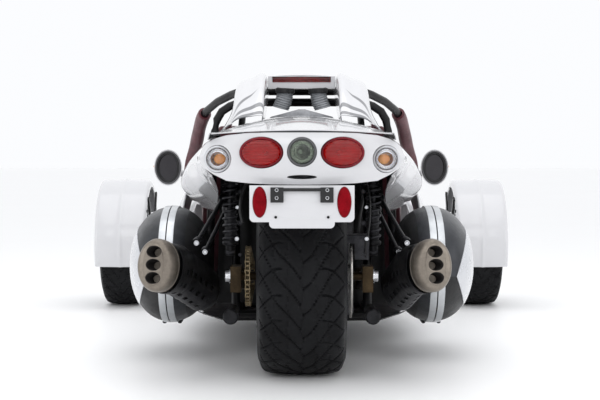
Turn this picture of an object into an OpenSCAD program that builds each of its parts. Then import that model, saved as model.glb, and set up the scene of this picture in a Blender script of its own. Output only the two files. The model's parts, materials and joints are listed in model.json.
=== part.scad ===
// Three-wheeled open sports car: two wheels in front, one wide driven wheel behind.
// Millimetres. +Y forward, +X to the car's right, +Z up, ground at Z = 0.

/* [Overall] */
// Length from the plate bracket to the nose tip
overall_l = 3500; // [3400:10:3900]
// Width over the front fenders
overall_w = 1980; // [1900:10:2300]
// Height to the top of the roof scoop
overall_h = 1067; // [1060:1:1100]
// Distance between the front and rear axles
wheelbase = 2286; // [2200:1:2450]
// Rear axle ahead of the rearmost point
rear_overhang = 541; // [500:1:600]

/* [Front wheels] */
// Front tyre outer diameter
front_tyre_d = 590; // [560:1:620]
// Front tyre width
front_tyre_w = 205; // [165:1:235]
// Front rim diameter at the bead
front_rim_d = 406; // [380:1:432]
// Kingpin axis inboard of the wheel's mid-plane
kingpin_offset = 137; // [120:1:150]
// Length of the steering arm behind the kingpin
steer_arm = 110; // [90:1:120]

/* [Rear wheel] */
// Rear tyre outer diameter
rear_tyre_d = 664; // [600:1:680]
// Rear tyre width
rear_tyre_w = 295; // [245:1:300]
// Rear rim diameter at the bead
rear_rim_d = 457; // [432:1:482]

/* [Body] */
// Thickness of the body panels
panel_t = 4; // [3:0.5:6]
// Thickness of the fenders
fender_t = 4; // [3:0.5:6]
// Radial gap between front tyre and fender
fender_gap = 22; // [15:1:40]
// Diameter of the roll cage tubes
cage_d = 34; // [28:1:42]
// Diameter of the lower frame tubes
frame_d = 32; // [26:1:38]

/* [Tail] */
// Half width of the tail panel
tail_half_w = 319; // [300:1:330]
// Width of the plate holder's middle part
plate_w = 200; // [190:1:210]
// Distance between the two plate screw holes
plate_screw_gap = 160; // [140:1:170]
// Diameter of the plate screw holes
plate_screw_d = 6; // [4:0.5:8]

/* [Luggage cases] */
// Length of a case
case_l = 620; // [500:5:640]
// Height of a case
case_h = 428; // [380:1:440]
// Thickness of a case's shell
case_t = 4; // [3:0.5:6]
// Distance of the case's seam from the middle plane
case_x = 485; // [475:1:500]

/* [Hidden] */
$fn = 48;

rear_end = -overall_l / 2;
tip_y = overall_l / 2;
rear_y = rear_end + rear_overhang;
front_y = rear_y + wheelbase;
rear_z = rear_tyre_d / 2;
front_z = front_tyre_d / 2;
seam = 4;                        // gap between neighbouring body panels
run = 0.05;                      // radial clearance of a running fit
touch = 0.3;                     // gap between pieces that rest against each other

// Front wheel stations across the car
fender_side = 15;                // fender face outboard of the tyre's sidewall
wheel_x = overall_w / 2 - fender_side - front_tyre_w / 2;
fender_w = front_tyre_w + 41;    // fender width
fender_x = overall_w / 2 - fender_w / 2;
king_x = wheel_x - kingpin_offset;

// ---- Curves and surfaces ----
function unit(v) = v / max(norm(v), 1e-9);
function mix(a, b, t) = a + (b - a) * t;
function row_at(T, i) = T[max(0, min(len(T) - 1, i))];

// Smooth curve through a list of values, points or rows of points; u runs from 0 to len - 1
function smooth(T, u) =
  let (i = max(0, min(floor(u), len(T) - 2)), f = u - i,
       a = row_at(T, i - 1), b = T[i], c = T[i + 1], d = row_at(T, i + 2))
  0.5 * (2 * b + (c - a) * f + (2 * a - 5 * b + 4 * c - d) * f * f
         + (3 * b - a - 3 * c + d) * f * f * f);
function resample(T, n) = [for (k = [0:n]) smooth(T, k * (len(T) - 1) / n)];

// Surface grid of m + 1 by n + 1 points through a net of control points
function patch(net, m, n) = resample([for (row = net) resample(row, n)], m);

// One rounded section of the nose across the car at y, rounder above than below
function oval(y, hw, top, bottom, n) =
  [for (k = [0:n - 1]) let (a = 360 * k / n, c = cos(a), s = sin(a), p = c > 0 ? 2.8 : 5)
    [hw * sign(s) * pow(abs(s), 2 / p), y,
     (top + bottom) / 2 + (top - bottom) / 2 * sign(c) * pow(abs(c), 2 / p)]];

// Normal of a grid at point i, j; a closed grid wraps in j
function grid_normal(G, i, j, closed) =
  let (m = len(G), n = len(G[0]),
       di = row_at(G, i + 1)[j] - row_at(G, i - 1)[j],
       dj = closed ? G[i][(j + 1) % n] - G[i][(j + n - 1) % n]
                   : row_at(G[i], j + 1) - row_at(G[i], j - 1))
  unit(cross(di, dj));

function flat(rows) = [for (row = rows) for (p = row) p];

// Closed solid between a grid and the same grid moved inward by t
module skin(G, t, closed = false) {
  m = len(G);
  n = len(G[0]);
  k = m * n;
  inner = [for (i = [0:m - 1]) [for (j = [0:n - 1]) G[i][j] - t * grid_normal(G, i, j, closed)]];
  last = closed ? n - 1 : n - 2;
  outside = [for (i = [0:m - 2], j = [0:last], h = [0, 1])
    let (a = i * n + j, b = i * n + (j + 1) % n) h == 0 ? [a, b, a + n] : [b, b + n, a + n]];
  inside = [for (f = outside) [f[0] + k, f[2] + k, f[1] + k]];
  ends = [for (j = [0:last], h = [0, 1], e = [0, 1])
    let (r = e * (m - 1) * n, a = r + j, b = r + (j + 1) % n,
         f = h == 0 ? [a, a + k, b] : [b, a + k, b + k])
    e == 0 ? f : [f[0], f[2], f[1]]];
  sides = closed ? [] : [for (i = [0:m - 2], h = [0, 1], e = [0, 1])
    let (a = i * n + e * (n - 1), b = a + n,
         f = h == 0 ? [a, b, a + k] : [b, b + k, a + k])
    e == 0 ? f : [f[0], f[2], f[1]]];
  polyhedron(points = concat(flat(G), flat(inner)), faces = concat(outside, inside, ends, sides));
}

// Solid through closed rings of points, with flat ends
module loft(R) {
  m = len(R);
  n = len(R[0]);
  walls = [for (i = [0:m - 2], j = [0:n - 1], h = [0, 1])
    let (a = i * n + j, b = i * n + (j + 1) % n) h == 0 ? [a, b, a + n] : [b, b + n, a + n]];
  first = [for (j = [1:n - 2]) [0, j + 1, j]];
  last = [for (j = [1:n - 2]) [(m - 1) * n, (m - 1) * n + j, (m - 1) * n + j + 1]];
  polyhedron(points = flat(R), faces = concat(walls, first, last));
}

// Round ring of n points about p, square to d; r may be a number or a pair of radii
function ring(p, d, r, n) =
  let (w = unit(d), u = unit(cross(abs(w[2]) > 0.95 ? [0, 1, 0] : [0, 0, 1], w)),
       v = cross(w, u), ru = is_list(r) ? r[0] : r, rv = is_list(r) ? r[1] : r)
  [for (k = [0:n - 1]) p + ru * cos(-360 * k / n) * u + rv * sin(-360 * k / n) * v];

// Solid swept along a smooth path; radii gives one radius for each point of the path
module sweep(path, radii, n = 12) {
  loft([for (i = [0:len(path) - 1])
    ring(path[i], row_at(path, i + 1) - row_at(path, i - 1), radii[i], n)]);
}
module bent_tube(points, d, steps, n = 12) {
  path = resample(points, steps);
  sweep(path, [for (p = path) d / 2], n);
}

// Straight bar between two points
module rod(a, b, d) {
  v = b - a;
  translate(a)
    rotate([0, acos(v[2] / norm(v)), atan2(v[1], v[0])])
      cylinder(h = norm(v), d = d);
}
module both_sides() {
  children();
  mirror([1, 0, 0]) children();
}
// Cylinder along X, centred on p
module x_disc(p, d, w) {
  translate(p - [w / 2, 0, 0]) rotate([0, 90, 0]) cylinder(h = w, d = d);
}
// Solid of faceted pieces joined as one mesh
module mesh() { resize([0, 0, 0]) children(); }

// ---- Wheels ----
// Half outline of a tyre: [radius, across] points from the bead over the tread
function tyre_side(d, w, bead_d) = let (r = d / 2, b = bead_d / 2 + touch, s = (d - bead_d) / 2)
  [[b, 0.42 * w], [b + 0.12 * s, 0.47 * w], [b + 0.45 * s, 0.5 * w], [r - 0.22 * s, 0.49 * w],
   [r - 0.08 * s, 0.455 * w], [r - 0.02 * s, 0.40 * w], [r, 0.30 * w]];
module tyre(p, d, w, bead_d) {
  half = tyre_side(d, w, bead_d);
  outline = concat(half, [for (i = [len(half) - 1:-1:0]) [half[i][0], -half[i][1]]]);
  translate(p) rotate([0, 90, 0]) rotate_extrude($fn = 96) polygon(outline);
}
// Barrel and spokes of a wheel; spoke_shift moves the spokes from the mid-plane
module barrel(p, bead_d, w, spokes, spoke_shift) {
  r = bead_d / 2;
  wall = 9;
  spoke_t = 26;
  difference() {
    x_disc(p, 2 * r, w);
    x_disc(p, 2 * (r - wall), w + 2);
  }
  for (k = [0:spokes - 1])
    translate(p + [spoke_shift, 0, 0]) rotate([k * 360 / spokes, 0, 0])
      translate([-spoke_t / 2, -14, 30]) cube([spoke_t, 28, r - wall / 2 - 30]);
}

front_rim_w = 190;
spindle_d = 40;
spoke_shift = front_rim_w / 2 - 26;
disc_t = 18;
front_disc_d = 280;
disc_shift = -62;                // front disc inboard of the wheel's mid-plane
module front_wheel_rim(side) {
  p = [side * wheel_x, front_y, front_z];
  inner = disc_shift - disc_t / 2 - 4;
  outer = spoke_shift + 18;
  difference() {
    union() {
      barrel(p, front_rim_d, front_rim_w, 7, side * spoke_shift);
      x_disc(p + [side * (inner + outer) / 2, 0, 0], 112, outer - inner);
      x_disc(p + [side * disc_shift, 0, 0], front_disc_d, disc_t);
    }
    translate(p) rotate([0, side * 90, 0])
      translate([0, 0, -200]) cylinder(h = 200 + spoke_shift - 10, d = spindle_d + 2 * run);
  }
}
module left_front_rim() { color("silver") front_wheel_rim(-1); }
module right_front_rim() { color("silver") front_wheel_rim(1); }
module left_front_tyre() {
  color("dimgray") tyre([-wheel_x, front_y, front_z], front_tyre_d, front_tyre_w, front_rim_d);
}
module right_front_tyre() {
  color("dimgray") tyre([wheel_x, front_y, front_z], front_tyre_d, front_tyre_w, front_rim_d);
}

// ---- Steering knuckles, fenders and front brakes ----
king_d = 26;
king_low = 168;                  // bottom of the kingpin
king_high = 424;                 // top of the kingpin
eye_h = 28;                      // height of a wishbone's outer eye
upright_w = 44;
arm_z = 236;                     // top face of the steering arm
module knuckle(side) {
  k = [side * king_x, front_y, 0];
  low = king_low + eye_h + 1;
  high = king_high - eye_h - 1;
  translate([k[0], k[1], king_low]) cylinder(h = king_high - king_low, d = king_d);
  translate([k[0] - upright_w / 2, k[1] - 45, low]) cube([upright_w, 90, high - low]);
  translate([k[0], k[1], front_z]) rotate([0, side * 90, 0])
    cylinder(h = wheel_x - king_x + spoke_shift - 14, d = spindle_d);
  translate([k[0] - 20, k[1] - steer_arm - 18, arm_z - 14]) cube([40, steer_arm, 14]);
  // Two flat stays up to the fender's inner edge
  for (a = [50, 125])
    translate([side * (fender_x - fender_w / 2 - touch - 4), front_y, front_z]) rotate([-a, 0, 0])
      translate([-4, -front_tyre_d / 2 - 12, -11]) cube([8, front_tyre_d / 2 - 50, 22]);
  translate([side * (fender_x - fender_w / 2 - touch - 4) - 3, front_y - 62, front_z + 18])
    cube([6, 124, 70]);
}
module left_knuckle() { color("#3a3a3d") knuckle(-1); }
module right_knuckle() { color("#3a3a3d") knuckle(1); }

fender_rear_a = -16;             // fender's rear edge below the axle's level, degrees
fender_front_a = 152;            // its front edge, measured over the top
// Outer outline of a fender: [radius, across] with a raised middle crease and turned-in lips
function fender_side_pts(grow) = let (r = front_tyre_d / 2 + fender_gap, h = fender_w / 2)
  [for (q = [[r - 30, 1], [r - 14, 1], [r - 5, 0.97], [r, 0.90], [r + 2, 0.6], [r + 2, 0.16], [r + 6, 0]])
    [q[0] + grow, q[1] * h - (fender_t - grow) * (q[1] > 0.8 ? 1 : 0)]];
module fender(side) {
  outer = fender_side_pts(fender_t);
  inner = fender_side_pts(0);
  n = len(outer);
  outline = concat(outer, [for (i = [n - 2:-1:0]) [outer[i][0], -outer[i][1]]],
                   [for (i = [0:n - 1]) [inner[i][0], -inner[i][1]]],
                   [for (i = [n - 2:-1:0]) inner[i]]);
  translate([side * fender_x, front_y, front_z]) rotate([180 - fender_rear_a, 0, 0]) rotate([0, 90, 0])
    rotate([0, 0, 90]) rotate_extrude(angle = fender_rear_a - fender_front_a, $fn = 96)
      polygon(outline);
}
module left_fender() { color("white") fender(-1); }
module right_fender() { color("white") fender(1); }

caliper_slot = 10;               // side clearance between a caliper and its disc
module front_caliper(side) {
  x = wheel_x + disc_shift;
  difference() {
    translate([side * x - 34, front_y + 88, front_z - 50]) cube([68, 62, 100]);
    x_disc([side * x, front_y, front_z], front_disc_d + 16, disc_t + caliper_slot);
    x_disc([side * x, front_y, front_z], 190, 200);
  }
}
module left_caliper() { color("#c0c0c4") front_caliper(-1); }
module right_caliper() { color("#c0c0c4") front_caliper(1); }

// ---- Rear wheel ----
rear_p = [0, rear_y, rear_z];
rear_rim_w = 280;
axle_d = 30;
rear_hub_w = 300;
sprocket_x = -182;
sprocket_d = 194;
sprocket_t = 8;
rear_disc_x = 166;
rear_disc_d = 284;
rear_disc_t = 7;
module rear_rim() {
  color("silver") difference() {
    union() {
      barrel(rear_p, rear_rim_d, rear_rim_w, 7, 0);
      x_disc(rear_p, 96, rear_hub_w);
    }
    x_disc(rear_p, axle_d + 2 * run, rear_hub_w + 20);
  }
}
module rear_tyre() { color("dimgray") tyre(rear_p, rear_tyre_d, rear_tyre_w, rear_rim_d); }
module hub_plate(x, d, t, carrier_w) {
  inward = x > 0 ? -1 : 1;
  difference() {
    union() {
      x_disc([x, rear_y, rear_z], d, t);
      x_disc([x + inward * carrier_w / 2, rear_y, rear_z], 90, carrier_w + t - 1);
    }
    x_disc([x, rear_y, rear_z], axle_d + 2 * run, 200);
    for (k = [0:7])
      translate([x, rear_y, rear_z]) rotate([k * 45, 0, 0]) translate([0, 0, d * 0.36])
        rotate([0, 90, 0]) cylinder(h = 60, d = 22, center = true);
  }
}
module rear_disc() {
  color("#9a9aa0") hub_plate(rear_disc_x, rear_disc_d, rear_disc_t, rear_disc_x - rear_hub_w / 2 - 4);
}
module rear_sprocket() {
  color("#8a7440") hub_plate(sprocket_x, sprocket_d, sprocket_t, -sprocket_x - rear_hub_w / 2 - 5);
}
module rear_caliper() {
  color("#4a4a4e") difference() {
    translate([rear_disc_x - 24, rear_y - 95, rear_z + 62]) cube([84, 100, 84]);
    x_disc([rear_disc_x, rear_y, rear_z], rear_disc_d + 16, rear_disc_t + 12);
    translate([rear_disc_x - 60, rear_y - 200, 0]) cube([60 - rear_disc_t - 8, 400, 2 * rear_z]);
  }
}

// Swingarm with the fixed axle, two beams and a pivot tube each
beam_x = 224;
beam_w = 36;
pivot_y = -700;
pivot_z = 280;
module swingarm() {
  color("#7a5a34") union() {
    x_disc(rear_p, axle_d, 2 * beam_x + beam_w + 24);
    for (s = [-1, 1]) {
      translate([s * beam_x - beam_w / 2, rear_y - 44, rear_z - 52]) cube([beam_w, 96, 88]);
      translate([s * beam_x - beam_w / 2, rear_y + 40, rear_z - 44])
        rotate([atan2(pivot_z - rear_z, pivot_y - rear_y), 0, 0])
          cube([beam_w, norm([pivot_z - rear_z, pivot_y - rear_y]) - 40, 60]);
      x_disc([s * beam_x, pivot_y, pivot_z], 84, beam_w + 10);
    }
  }
}

// Coil spring and damper between two points, upper end first
module coilover(top, foot, spring_d, d) {
  rod(top, mix(top, foot, 0.5), d * 0.5);
  rod(mix(top, foot, 0.5), foot, d * 0.8);
  rod(mix(top, foot, 0.14), mix(top, foot, 0.72), spring_d);
  x_disc(top, d * 0.9, 26);
  x_disc(foot, d * 0.9, 26);
}
shock_x = 246;
shock_y = rear_y + 55;
shock_top = 668;
shock_foot = 408;
module rear_shocks() {
  color("#26262a") both_sides()
    coilover([shock_x, shock_y, shock_top], [shock_x, shock_y, shock_foot], 56, 34);
}
chain_front_y = rear_y + 400;
chain_front_z = 300;
chain_front_r = 42;
module drive_chain() {
  link_h = 13;
  module loop(grow) {
    hull() {
      translate([rear_y, rear_z]) circle(r = sprocket_d / 2 + touch + grow);
      translate([chain_front_y, chain_front_z]) circle(r = chain_front_r + grow);
    }
  }
  color("#5c4a26") mesh() translate([sprocket_x - 8, 0, 0]) rotate([90, 0, 90])
    linear_extrude(height = 16) difference() {
      loop(link_h);
      loop(0);
    }
}

// ---- Front suspension and steering ----
pickup_x = 322;                  // inner ends of the wishbones
pickup_w = 150;                  // half spread of the lower inner ends along the car
pickup_high_w = 120;             // the same for the upper ones
arm_low_z = 172;
arm_high_z = 398;
module wishbone(side, z_in, z_out, y_spread) {
  outer = [side * king_x, front_y, z_out];
  difference() {
    union() {
      translate(outer - [0, 0, eye_h / 2]) cylinder(h = eye_h, d = king_d + 26);
      for (s = [-1, 1]) {
        inner = [side * pickup_x, front_y + s * y_spread, z_in];
        rod(inner, outer - [side * 10, -s * 9, 0], 24);
        translate(inner) rotate([90, 0, 0]) cylinder(h = 50, d = 36, center = true);
      }
    }
    translate(outer - [0, 0, eye_h]) cylinder(h = 2 * eye_h, d = king_d + 2 * run);
  }
}
module wishbones() {
  color("#2c2c30") for (side = [-1, 1]) {
    wishbone(side, arm_low_z, king_low + eye_h / 2 + 0.5, pickup_w);
    wishbone(side, arm_high_z, king_high - eye_h / 2 - 0.5, pickup_high_w);
  }
}
module front_shocks() {
  color("#b01818") both_sides()
    coilover([pickup_x + 14, front_y, 500], [600, front_y, 222], 54, 34);
}
rack_y = front_y - steer_arm;
tie_eye_z = arm_z + 2;
rack_z = arm_z + 11;
module steering_rack() {
  color("#5a5a60") union() {
    rod([-king_x, rack_y, rack_z], [king_x, rack_y, rack_z], 16);
    for (s = [-1, 1])
      translate([s * king_x, rack_y, tie_eye_z]) cylinder(h = 20, d = 30);
  }
}
wheel_hub = [-222, 318, 590];    // middle of the steering wheel
column_dir = unit([0, -cos(22), sin(22)]);
module steering_wheel() {
  grip_r = 150;
  color("#202022") {
    translate(wheel_hub) rotate([90 - 22, 0, 0]) {
      rotate_extrude($fn = 96) translate([grip_r, 0]) circle(d = 28);
      cylinder(h = 26, d = 84, center = true);
      for (a = [0, 180, 270])
        rotate([0, 0, a]) translate([30, -15, -5]) cube([grip_r - 34, 30, 10]);
    }
    rod(wheel_hub, wheel_hub - 190 * column_dir, 30);
  }
}

// ---- Frame, cage and floor ----
rail_x = 250;
rail_z = 138;
floor_z = 110;
floor_t = 4;
rail_rear = -640;
rail_front = 1290;
nose_rail_x = 165;
nose_rail_z = 165;
module lower_frame() {
  low = rail_z;
  $fn = 10;
  color("#1b1b1d") mesh() union() {
    for (s = [-1, 1]) {
      rod([s * rail_x, rail_rear, low], [s * rail_x, cowl_y, low], frame_d);
      rod([s * rail_x, cowl_y, low], [s * nose_rail_x, rail_front, nose_rail_z], frame_d);
      rod([s * rail_x, rail_rear, low], [s * rail_x, rail_rear, 690], frame_d);
      rod([s * rail_x, rail_rear, 690], [s * rail_x, shock_y + 50, 712], frame_d);
      rod([s * rail_x, rail_rear, 300], [s * rail_x, shock_y + 60, 700], frame_d * 0.8);
      translate([s * (beam_x + beam_w / 2 + 12) - 5, pivot_y - 22, pivot_z - 22]) cube([10, 78, 44]);
      rod([s * 110, shock_y + 50, 712], [s * 110, rear_end + 92, 742], frame_d * 0.8);
      rod([s * nose_rail_x, rail_front, nose_rail_z], [s * nose_rail_x, rail_front, 400], frame_d * 0.8);
      rod([s * 240, cowl_y + 40, 560], [s * nose_rail_x, rail_front, 400], frame_d * 0.8);
      for (e = [-1, 1]) {
        rod([s * nose_rail_x, front_y + e * pickup_w, 166],
            [s * (pickup_x - 19), front_y + e * pickup_w, arm_low_z], 22);
        rod([s * nose_rail_x, front_y + e * pickup_high_w, 425],
            [s * (pickup_x - 19), front_y + e * pickup_high_w, arm_high_z], 22);
      }
    }
    for (y = [rail_rear, -250, cowl_y])
      rod([-rail_x, y, low], [rail_x, y, low], frame_d);
    rod([-nose_rail_x, rail_front, nose_rail_z], [nose_rail_x, rail_front, nose_rail_z], frame_d);
    rod([-rail_x - 16, shock_y + 50, 712], [rail_x + 16, shock_y + 50, 712], frame_d);
    rod([-nose_rail_x, rail_front, 400], [nose_rail_x, rail_front, 400], frame_d * 0.8);
    for (s = [-1, 1])
      translate([s * (rail_x - 12) - 16, shock_y - 6, shock_top + 18]) cube([32, 62, 14]);
  }
}
module floor_pan() {
  edge = concat([for (r = pod_rows) [r[4][0], r[4][1]]], [[300, rail_rear + 60]]);
  color("#232326") translate([0, 0, floor_z - floor_t]) linear_extrude(height = floor_t)
    polygon(concat([for (q = edge) [q[0], q[1]]], [for (i = [len(edge) - 1:-1:0]) [-edge[i][0],
       edge[i][1]]]));
}

roof_tube = [[254, -200, 1002], [404, 50, 931], [470, 330, 790], [521, 600, 640], [500, 668, 560]];
hoop = [[0, -300, 955], [180, -300, 955], [262, -300, 950], [331, -300, 905], [352, -300, 800],
        [362, -300, 560], [372, -300, 300], [380, -300, 150]];
stay_x = 249.6 - 0.4 * cage_d;           // rear stays, clear of the pillars
function mirrored(pts) = concat([for (i = [len(pts) - 1:-1:1]) [-pts[i][0], pts[i][1], pts[i][2]]], pts);
module roll_cage() {
  color("#1b1b1d") mesh() {
    bent_tube(mirrored(concat([[0, -215, 1003], [150, -210, 1003]], roof_tube)), cage_d, 32, 10);
    bent_tube(mirrored(hoop), cage_d, 30, 10);
    both_sides() {
      bent_tube([[240, -206, 1003], [244, -250, 985], [250, -300, 952]], cage_d * 0.8, 3, 8);
      bent_tube([[stay_x, -300, 952], [stay_x - 2, -420, 880], [242, -560, 780],
         [rail_x, rail_rear - 4, 716]],
                cage_d * 0.8, 8, 8);
    }
  }
}
// Leather pads around the long tubes, each a closed sleeve
pad_from = 1.1;
pad_to = 2.9;
pad_steps = 10;
pad_wall = 9;
module cage_pads() {
  path = [for (k = [0:pad_steps]) smooth(roof_tube, mix(pad_from, pad_to, k / pad_steps))];
  r = cage_d / 2 + 3 + pad_wall;
  rings = [for (i = [0:len(path) - 1])
    ring(path[i], row_at(path, i + 1) - row_at(path, i - 1), r, 12)];
  color("#5b1420") both_sides() skin(rings, pad_wall, closed = true);
}

// ---- Front body ----
cowl_y = 560;                    // rear edge of the nose panel
// Nose sections from the cockpit forward: [y, half width, top, bottom]
// A place between the scuttle and the front axle, and one between that axle and the tip
function fore(f) = cowl_y + f * (front_y - cowl_y);
function ahead(f) = front_y + f * (tip_y - front_y);
nose_rows = [[cowl_y, 500, 735, 112], [fore(0.271), 430, 702, 110], [fore(0.561), 352, 645, 108],
             [front_y, 300, 560, 108], [ahead(0.331), 286, 482, 112], [ahead(0.629), 262, 412, 124],
             [ahead(0.866), 205, 350, 150], [tip_y - 4, 120, 296, 196]];
nose_steps = 16;
nose_n = 28;
function nose_ring(r, n) = oval(r[0], r[1], r[2], r[3], n);
module nose() {
  rows = resample([for (i = [len(nose_rows) - 1:-1:0]) nose_rows[i]], nose_steps);
  tie_hole = 64;
  color("white") mesh() difference() {
    skin([for (r = rows) nose_ring(r, nose_n)], panel_t, closed = true);
    rod([-600, rack_y, rack_z], [600, rack_y, rack_z], tie_hole);
    both_sides() {
      translate([pickup_x - 60, front_y - 60, 440]) cube([80, 120, 110]);
      for (e = [-1, 1]) {
        translate([pickup_x - 70, front_y + e * pickup_w - 36, arm_low_z - 28]) cube([120, 72, 56]);
        translate([pickup_x - 70, front_y + e * pickup_high_w - 36, arm_high_z - 28]) cube([120, 72, 56]);
      }
    }
  }
}
module nose_grille() {
  tip = nose_rows[len(nose_rows) - 1];
  w = tip[1] - 22;
  h = (tip[2] - tip[3]) / 2 - 18;
  z = (tip[2] + tip[3]) / 2;
  color("#151517") difference() {
    translate([-w, tip_y - 14, z - h]) cube([2 * w, 14, 2 * h]);
    for (k = [-3:3])
      translate([k * 2 * w / 7.5 - w / 10, tip_y - 30, z - h + 8]) cube([w / 5, 60, 2 * h - 16]);
  }
}
egg_fn = 16;
// Ellipsoid with the three given diameters
module egg(p, size) { translate(p) resize(size) sphere(d = 10, $fn = egg_fn); }
module headlamps() {
  color("#dfe6ea") both_sides() mesh() intersection() {
    translate([168, 1440, 424]) rotate([-16, 26, 8]) egg([0, 0, 0], [120, 190, 56]);
    translate([60, 1300, 300]) cube([300, 300, 300]);
    difference() {
      translate([0, 1200, 200]) cube([400, 400, 400]);
      loft([for (r = resample([for (i = [len(nose_rows) - 1:-1:0]) nose_rows[i]], nose_steps))
        nose_ring([r[0], r[1] + touch, r[2] + touch, r[3]], nose_n)]);
    }
  }
}
module windscreen() {
  net = [for (y = [690, 620, 550]) let (f = (690 - y) / 140)
    [[-300 - 24 * f, y - 60, 690 + 110 * f], [-180, y - 8, 716 + 128 * f], [0, y, 724 + 130 * f],
     [180, y - 8, 716 + 128 * f], [300 + 24 * f, y - 60, 690 + 110 * f]]];
  color([0.7, 0.8, 0.85, 0.4]) mesh() difference() {
    skin(patch(net, 4, 18), panel_t);
    loft([for (r = resample([for (i = [len(nose_rows) - 1:-1:0]) nose_rows[i]], nose_steps))
      nose_ring([r[0], r[1] + touch, r[2] + touch, r[3]], nose_n)]);
    translate([-400, cowl_y - 200, 400]) cube([800, 199, 332]);
  }
}
module dashboard() {
  net = [[[-400, cowl_y - 8, 610], [-330, cowl_y - 8, 690], [0, cowl_y - 8, 712], [330, cowl_y - 8, 690],
          [400, cowl_y - 8, 610]],
         [[-405, 500, 590], [-330, 488, 672], [0, 480, 694], [330, 488, 672], [405, 500, 590]],
         [[-400, 492, 520], [-330, 478, 560], [0, 470, 575], [330, 478, 560], [400, 492, 520]]];
  color("#2a2a2d") difference() {
    skin(patch(net, 6, 16), 5);
    translate(wheel_hub - 250 * column_dir) rotate([90 - 22, 0, 0]) cylinder(h = 250, d = 62);
  }
}
// Side pod sections, front to rear; each from the sill over the bulge to the floor
pod_rows = [
  [[400, cowl_y - seam, 655], [472, cowl_y - seam, 565], [503, cowl_y - seam, 422],
   [480, cowl_y - seam, 250], [405, cowl_y - seam, 114]],
  [[452, 330, 560], [520, 330, 490], [548, 330, 380], [522, 330, 240], [432, 330, 114]],
  [[474, 60, 470], [540, 60, 424], [574, 60, 345], [546, 60, 225], [450, 60, 114]],
  [[466, -180, 505], [532, -180, 445], [566, -180, 350], [540, -180, 225], [445, -180, 114]],
  [[396, -360, 700], [452, -360, 620], [480, -360, 440], [455, -360, 240], [392, -360, 114]]];
module side_pod() { skin(patch(pod_rows, 12, 10), panel_t * 2); }
module left_side_pod() { color("white") mirror([1, 0, 0]) side_pod(); }
module right_side_pod() { color("white") side_pod(); }

// ---- Rear body ----
// Pillar sections from the roof back to the deck; each from the inner foot over the top to the side
pillar_rows = [
  [[132, -340, 985], [132, -340, 1032], [182, -340, 1026], [231, -340, 1003], [262, -340, 900],
     [324, -340, 780]],
  [[132, -620, 930], [132, -620, 1034], [182, -620, 1026], [232, -620, 1001], [257, -620, 900],
     [314, -620, 796]],
  [[132, -880, 884], [132, -880, 1030], [180, -880, 1022], [231, -880, 996], [251, -880, 900],
     [297, -880, 810]],
  [[132, -1040, 872], [134, -1040, 975], [178, -1040, 968], [226, -1040, 945], [249, -1040, 884],
     [290, -1040, 814]],
  [[134, -1230, 864], [136, -1230, 880], [176, -1230, 876], [216, -1230, 868], [248, -1230, 846],
     [285, -1230, 816]]];
// Rear face of the tail at x across the car
tail_bow = 0.00105;
tail_y = rear_end + 34;
function tail_face(x) = tail_y + tail_bow * x * x;
function deck_row(y, z_mid, z_side, follow) =
  [for (x = [-284, -225, -130, 0, 130, 225, 284])
    let (f = pow(abs(x) / 284, 2)) [x, y + (follow ? tail_bow * x * x : 0), mix(z_mid, z_side, f)]];
module rear_cowl() {
  deck = [deck_row(-925, 884, 824, false), deck_row(-1150, 878, 820, false),
          deck_row(-1400, 862, 816, false), deck_row(tail_y + 8, 823, 812, true)];
  color("white") mesh() union() {
    skin(patch(deck, 7, 16), panel_t);
    both_sides() skin(patch(pillar_rows, 10, 12), panel_t);
  }
}
// Rear quarter sections from the cockpit to the tail
quarter_rows = [
  [[330, -364, 768], [424, -364, 716], [467, -364, 630], [430, -364, 560], [330, -364, 505]],
  [[318, -620, 784], [414, -620, 722], [458, -620, 645], [420, -620, 585], [322, -620, 520]],
  [[301, -950, 800], [372, -950, 752], [412, -950, 694], [380, -950, 632], [302, -950, 560]],
  [[289, -1280, 806], [332, -1280, 774], [352, -1280, 728], [330, -1280, 676], [282, -1280, 625]],
  [[288, -1570, 796], [309, -1575, 770], [321, -1588, 736], [306, -1580, 704], [284, -1570, 680]]];
module rear_fairings() { color("#f2f2f4") both_sides() skin(patch(quarter_rows, 14, 10), panel_t); }

// Tail panel outline: [x, top, bottom]
tail_rows = [[0, 814, 657], [100, 814, 658], [165, 813, 661], [233, 806, 668], [275, 794, 688],
             [305, 774, 708], [tail_half_w, 744, 728]];
lamp_x = 125;
lamp_z = 754;
lamp_size = [133, 48, 94];
signal_x = 262;
signal_z = 734;
signal_d = 83;
reverse_z = 756;
reverse_d = 88;
lamp_gap = 2.4;
module y_hole(x, z, w, h) {
  translate([x, tail_y, z]) rotate([90, 0, 0])
    linear_extrude(height = 500, center = true) resize([w, h]) circle(d = w, $fn = 28);
}
module lamp_holes(gap) {
  for (s = [-1, 1]) {
    y_hole(s * lamp_x, lamp_z, lamp_size[0] + gap, lamp_size[2] + gap);
    y_hole(s * signal_x, signal_z, signal_d + gap, signal_d + gap);
  }
  y_hole(0, reverse_z, reverse_d + gap, reverse_d + gap);
}
module tail_panel() {
  rows = resample(mirrored(tail_rows), 24);
  lip = 14;                      // how far the edges turn forward
  G = [for (f = [0:1 / 6:1]) [for (r = rows)
    [r[0], tail_face(r[0]) + lip * pow(abs(2 * f - 1), 3) + 4, mix(r[1], r[2], f)]]];
  color("white") mesh() difference() {
    skin(G, panel_t + 2);
    lamp_holes(lamp_gap);
    translate([-46, rear_end, 672]) cube([92, 300, 14]);
  }
}
module tail_lamps() {
  sink = 8;
  color("#c81414") mesh() {
    for (s = [-1, 1]) {
      egg([s * lamp_x, tail_face(lamp_x) + sink, lamp_z], lamp_size);
      egg([s * signal_x, tail_face(signal_x) + sink, signal_z], [signal_d, 56, signal_d]);
    }
    egg([0, tail_face(0) + sink, reverse_z], [reverse_d, 40, reverse_d]);
  }
}
holder_y = rear_end + 12;        // rear face of the plate holder
holder_t = 6;
plate_bottom = 523;
plate_screw_z = 557;
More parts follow.
